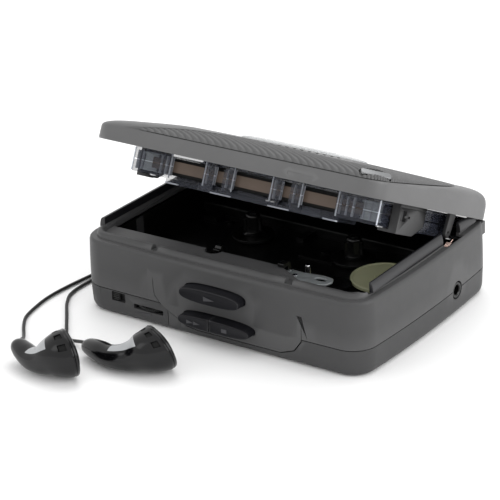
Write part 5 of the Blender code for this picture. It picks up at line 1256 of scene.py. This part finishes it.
def tape_shell(name, side, node):
    """One half of the cassette's shell, on the given side of the seam."""
    seam = SEAM + side * 0.15
    face = SEAM + side * THIN
    thick_face = SEAM + side * THICK
    outline = rounded([(-TAPE_HALF, TAPE_FRONT), (TAPE_HALF, TAPE_FRONT), (TAPE_HALF, TAPE_BACK),
        (-TAPE_HALF, TAPE_BACK)], 1.6)
    shell = slab(name, outline, *sorted((seam, face)), "clear")
    thick = [(-35.0, TAPE_FRONT), (35.0, TAPE_FRONT), (32.6, TAPE_FRONT + 17.5), (-32.6, TAPE_FRONT + 17.5)]
    join(shell, slab("thick", rounded(thick, 0.6), *sorted((seam + side * 0.5, thick_face)), "clear"))
    half = TAPE_HALF - 1.1
    cut(shell, slab("room", rectangle((-half, TAPE_FRONT + 1.1), (half, TAPE_BACK - 1.1)),
        *sorted((seam - side, face - side * 1.1)), "clear"))
    for x in (-HUB[0], HUB[0]):
        cut(shell, rod("hub_hole", (x, HUB[1]), 5.7, *sorted((seam, face + side * 2))))
    for x in (-CAPSTAN[0], CAPSTAN[0]):
        cut(shell, rod("capstan_hole", (x, CAPSTAN[1]), 3.1, *sorted((seam, thick_face + side))))
    for low, high in ((-7.5, 7.5), (-33.5, -20.0), (20.0, 33.5), (-15.4, -11.8), (11.8, 15.4)):
        cut(shell, box("opening", (low, TAPE_FRONT - 2, SEAM - 4.7), (high, TAPE_FRONT + 2.1, SEAM + 4.7),
            "clear"))
    return on_lid(bevelled(shell, 0.15, 2, 40), "cassette", "clear_plastic", node)


def cassette():
    """The cassette: two clear shells, reels, tape, guides, and a black backing sheet of painted shade."""
    tape_shell("clear_lower_shell", -1, "cassette_lower_shell")
    tape_shell("clear_upper_shell", 1, "cassette_upper_shell")
    low, high = SEAM - THIN + 1.15, SEAM + THIN - 1.15
    # The shell's ribs are real; their pale colour is painted highlight.
    for i, x in enumerate([-48.9, -47.0, -38.9, -36.6, -34.3, -19.3, -16.1, -11.1, -8.3, 8.3, 11.1, 16.1, 19.3,
            34.3, 36.9, 39.4, 43.5, 46.2, 48.9]):
        wide = 0.34 if i % 3 else 0.6
        rib = box(f"shell_rib_{i + 1}", (x - wide / 2, TAPE_FRONT + 1.15, low),
            (x + wide / 2, TAPE_FRONT + 2.2, high), "clear_painted_highlight", 0.08)
        on_lid(rib, "cassette", "clear_plastic")
    # Thin pale lines along the shell's front edges: painted highlights.
    for i, x in enumerate([-49.9, -34.0, -19.6, -7.8, 7.8, 19.6, 34.0, 49.9]):
        highlight_line = box(f"painted_highlight_edge_{i + 1}", (x - 0.2, TAPE_FRONT + 0.05, low - 0.9),
            (x + 0.2, TAPE_FRONT + 0.5, high + 0.9), "clear_painted_highlight", 0.08)
        on_lid(highlight_line, "cassette", "clear_plastic")
    # A black sheet of painted shade behind the shell's ribs, for the dark inside of the cassette.
    backing = box("shade_paint_backing", (-48.8, TAPE_FRONT + 3.0, low + 0.2), (48.8, TAPE_FRONT + 3.2, high - 0.2),
        "painted_shade")
    for x in (-44.6, 44.6):
        cut(backing, rod("roller_gap", (x, TAPE_FRONT + 5.2), 3.9, 10, 40))
    on_lid(backing, "cassette", "black_plastic")
    # Lips along the front openings, real, but pale as painted highlights.
    for i, (x0, x1) in enumerate([(-35.0, -29.6), (-15.9, -7.6), (7.6, 15.9), (29.6, 35.0)]):
        for side, z in (("low", SEAM - THICK), ("high", SEAM + THICK - 0.5)):
            lip = box(f"edge_lip_{side}_{i + 1}", (x0, TAPE_FRONT + 0.02, z), (x1, TAPE_FRONT + 0.9, z + 0.5),
                "clear_painted_highlight", 0.1)
            on_lid(lip, "cassette", "clear_plastic")
    for i, x in enumerate((-44.6, 44.6)):
        roller = turned(f"guide_roller_{i + 1}", [(0.8, low), (3.4, low), (3.6, low + 0.4), (3.3, low + 1.0),
            (3.3, high - 1.0), (3.6, high - 0.4), (3.4, high), (0.8, high)], (x, TAPE_FRONT + 5.2, 0), "milky",
            48)
        on_lid(roller, "cassette", "clear_plastic")
    strip = slab("tape_strip", [(-44.0, TAPE_FRONT + 2.25), (44.0, TAPE_FRONT + 2.25),
        (44.0, TAPE_FRONT + 2.35), (-44.0, TAPE_FRONT + 2.35)], SEAM - 1.9, SEAM + 1.9, "tape_light")
    on_lid(strip, "cassette", "tape")
    for sign, pack, x in ((-1, 20.0, -HUB[0]), (1, 17.0, HUB[0])):
        target = Vector((x + sign * pack * 0.92, HUB[1] - pack * 0.4))
        start = Vector((sign * 47.9, TAPE_FRONT + 5.4))
        lead = slab(f"tape_run_{'left' if sign < 0 else 'right'}",
            [tuple(start), tuple(target), tuple(target + Vector((0.1, 0))), tuple(start + Vector((0.1, 0)))],
            SEAM - 1.9, SEAM + 1.9, "tape")
        on_lid(lead, "cassette", "tape")
    spring = slab("pad_spring", [(-9.5, TAPE_FRONT + 3.4), (9.5, TAPE_FRONT + 3.4), (9.5, TAPE_FRONT + 3.55),
        (-9.5, TAPE_FRONT + 3.55)], SEAM - 1.5, SEAM + 1.5, "brass")
    on_lid(spring, "cassette", "brass")
    pad = box("pressure_pad", (-2.4, TAPE_FRONT + 2.4, SEAM - 1.7), (2.4, TAPE_FRONT + 2.95, SEAM + 1.7),
        "felt", 0.1)
    on_lid(pad, "cassette", "rubber")
    # The liner sheets are real, but are made flat black in the painted shade so the cassette's inside looks
    # dark.
    for side, z in (("lower", SEAM - THIN + 1.2), ("upper", SEAM + THIN - 1.32)):
        holes = [rectangle((-49.0, TAPE_FRONT + 7.5), (49.0, TAPE_BACK - 1.3)),
            circle((-HUB[0], HUB[1]), 7.2, 48), circle(HUB, 7.2, 48)]
        liner = slab(f"{side}_liner", holes, z, z + 0.12, "painted_shade")
        on_lid(liner, "cassette", "black_plastic")
    for name, x, pack, node in (("left_tape_reel", -HUB[0], 20.0, "left_reel"),
            ("right_tape_reel", HUB[0], 17.0, "right_reel")):
        wheel = slab(name, [circle((x, HUB[1]), pack, 96), circle((x, HUB[1]), 6.05, 48)], SEAM - 1.9,
            SEAM + 1.9, "tape", bevel=0.12)
        on_lid(wheel, node, "tape", node)
        hub = slab(name + "_hub", [circle((x, HUB[1]), 6.0, 64), circle((x, HUB[1]), 4.8, 64)], SEAM - 2.9,
            SEAM + 2.9, "milky", bevel=0.12)
        for i in range(6):
            tooth = box("tooth", (3.2, -0.6, SEAM - 2.2), (5.2, 0.6, SEAM + 2.2), "milky")
            tooth.data.transform(Matrix.Translation((x * MM, HUB[1] * MM,
                0)) @ Matrix.Rotation((i + 0.5) * math.pi / 3, 4, "Z"))
            join(hub, tooth)
        on_lid(hub, node, "clear_plastic")
    for i, (x, y) in enumerate([(-46.5, TAPE_FRONT + 9.5), (46.5, TAPE_FRONT + 9.5), (-46.5, TAPE_BACK - 4),
            (46.5, TAPE_BACK - 4), (0.0, TAPE_FRONT + 14)]):
        screw = turned(f"cassette_screw_{i + 1}", [(1.0, SEAM - THIN - 0.0), (1.9, SEAM - THIN - 0.35),
            (1.9, SEAM - THIN + 0.1), (1.0, SEAM - THIN + 0.3)], (x, y, 0), "steel", 32)
        on_lid(screw, "cassette", "steel")


# ---------------------------------------------------------------- inside pieces kept from the frame

KEPT = {"circuit_board": "board", "button_bracket": "zinc", "motor": "steel", "motor_pulley": "brass",
    "flywheel": "brass", "drive_belt": "rubber", "left_hinge_pin": "steel", "right_hinge_pin": "steel",
    "play_spring": "steel", "fast_forward_spring": "steel", "stop_spring": "steel", "battery_1": "cell",
    "battery_2": "cell", "negative_contact": "steel", "positive_contact": "steel"}


earphones()
add_stage()
top_casing()
base_cover()
underside()
rails_and_stops()
controls()
deck()
mechanism()
lid()
cassette()
for node, look in KEPT.items():
    paint(node, look)
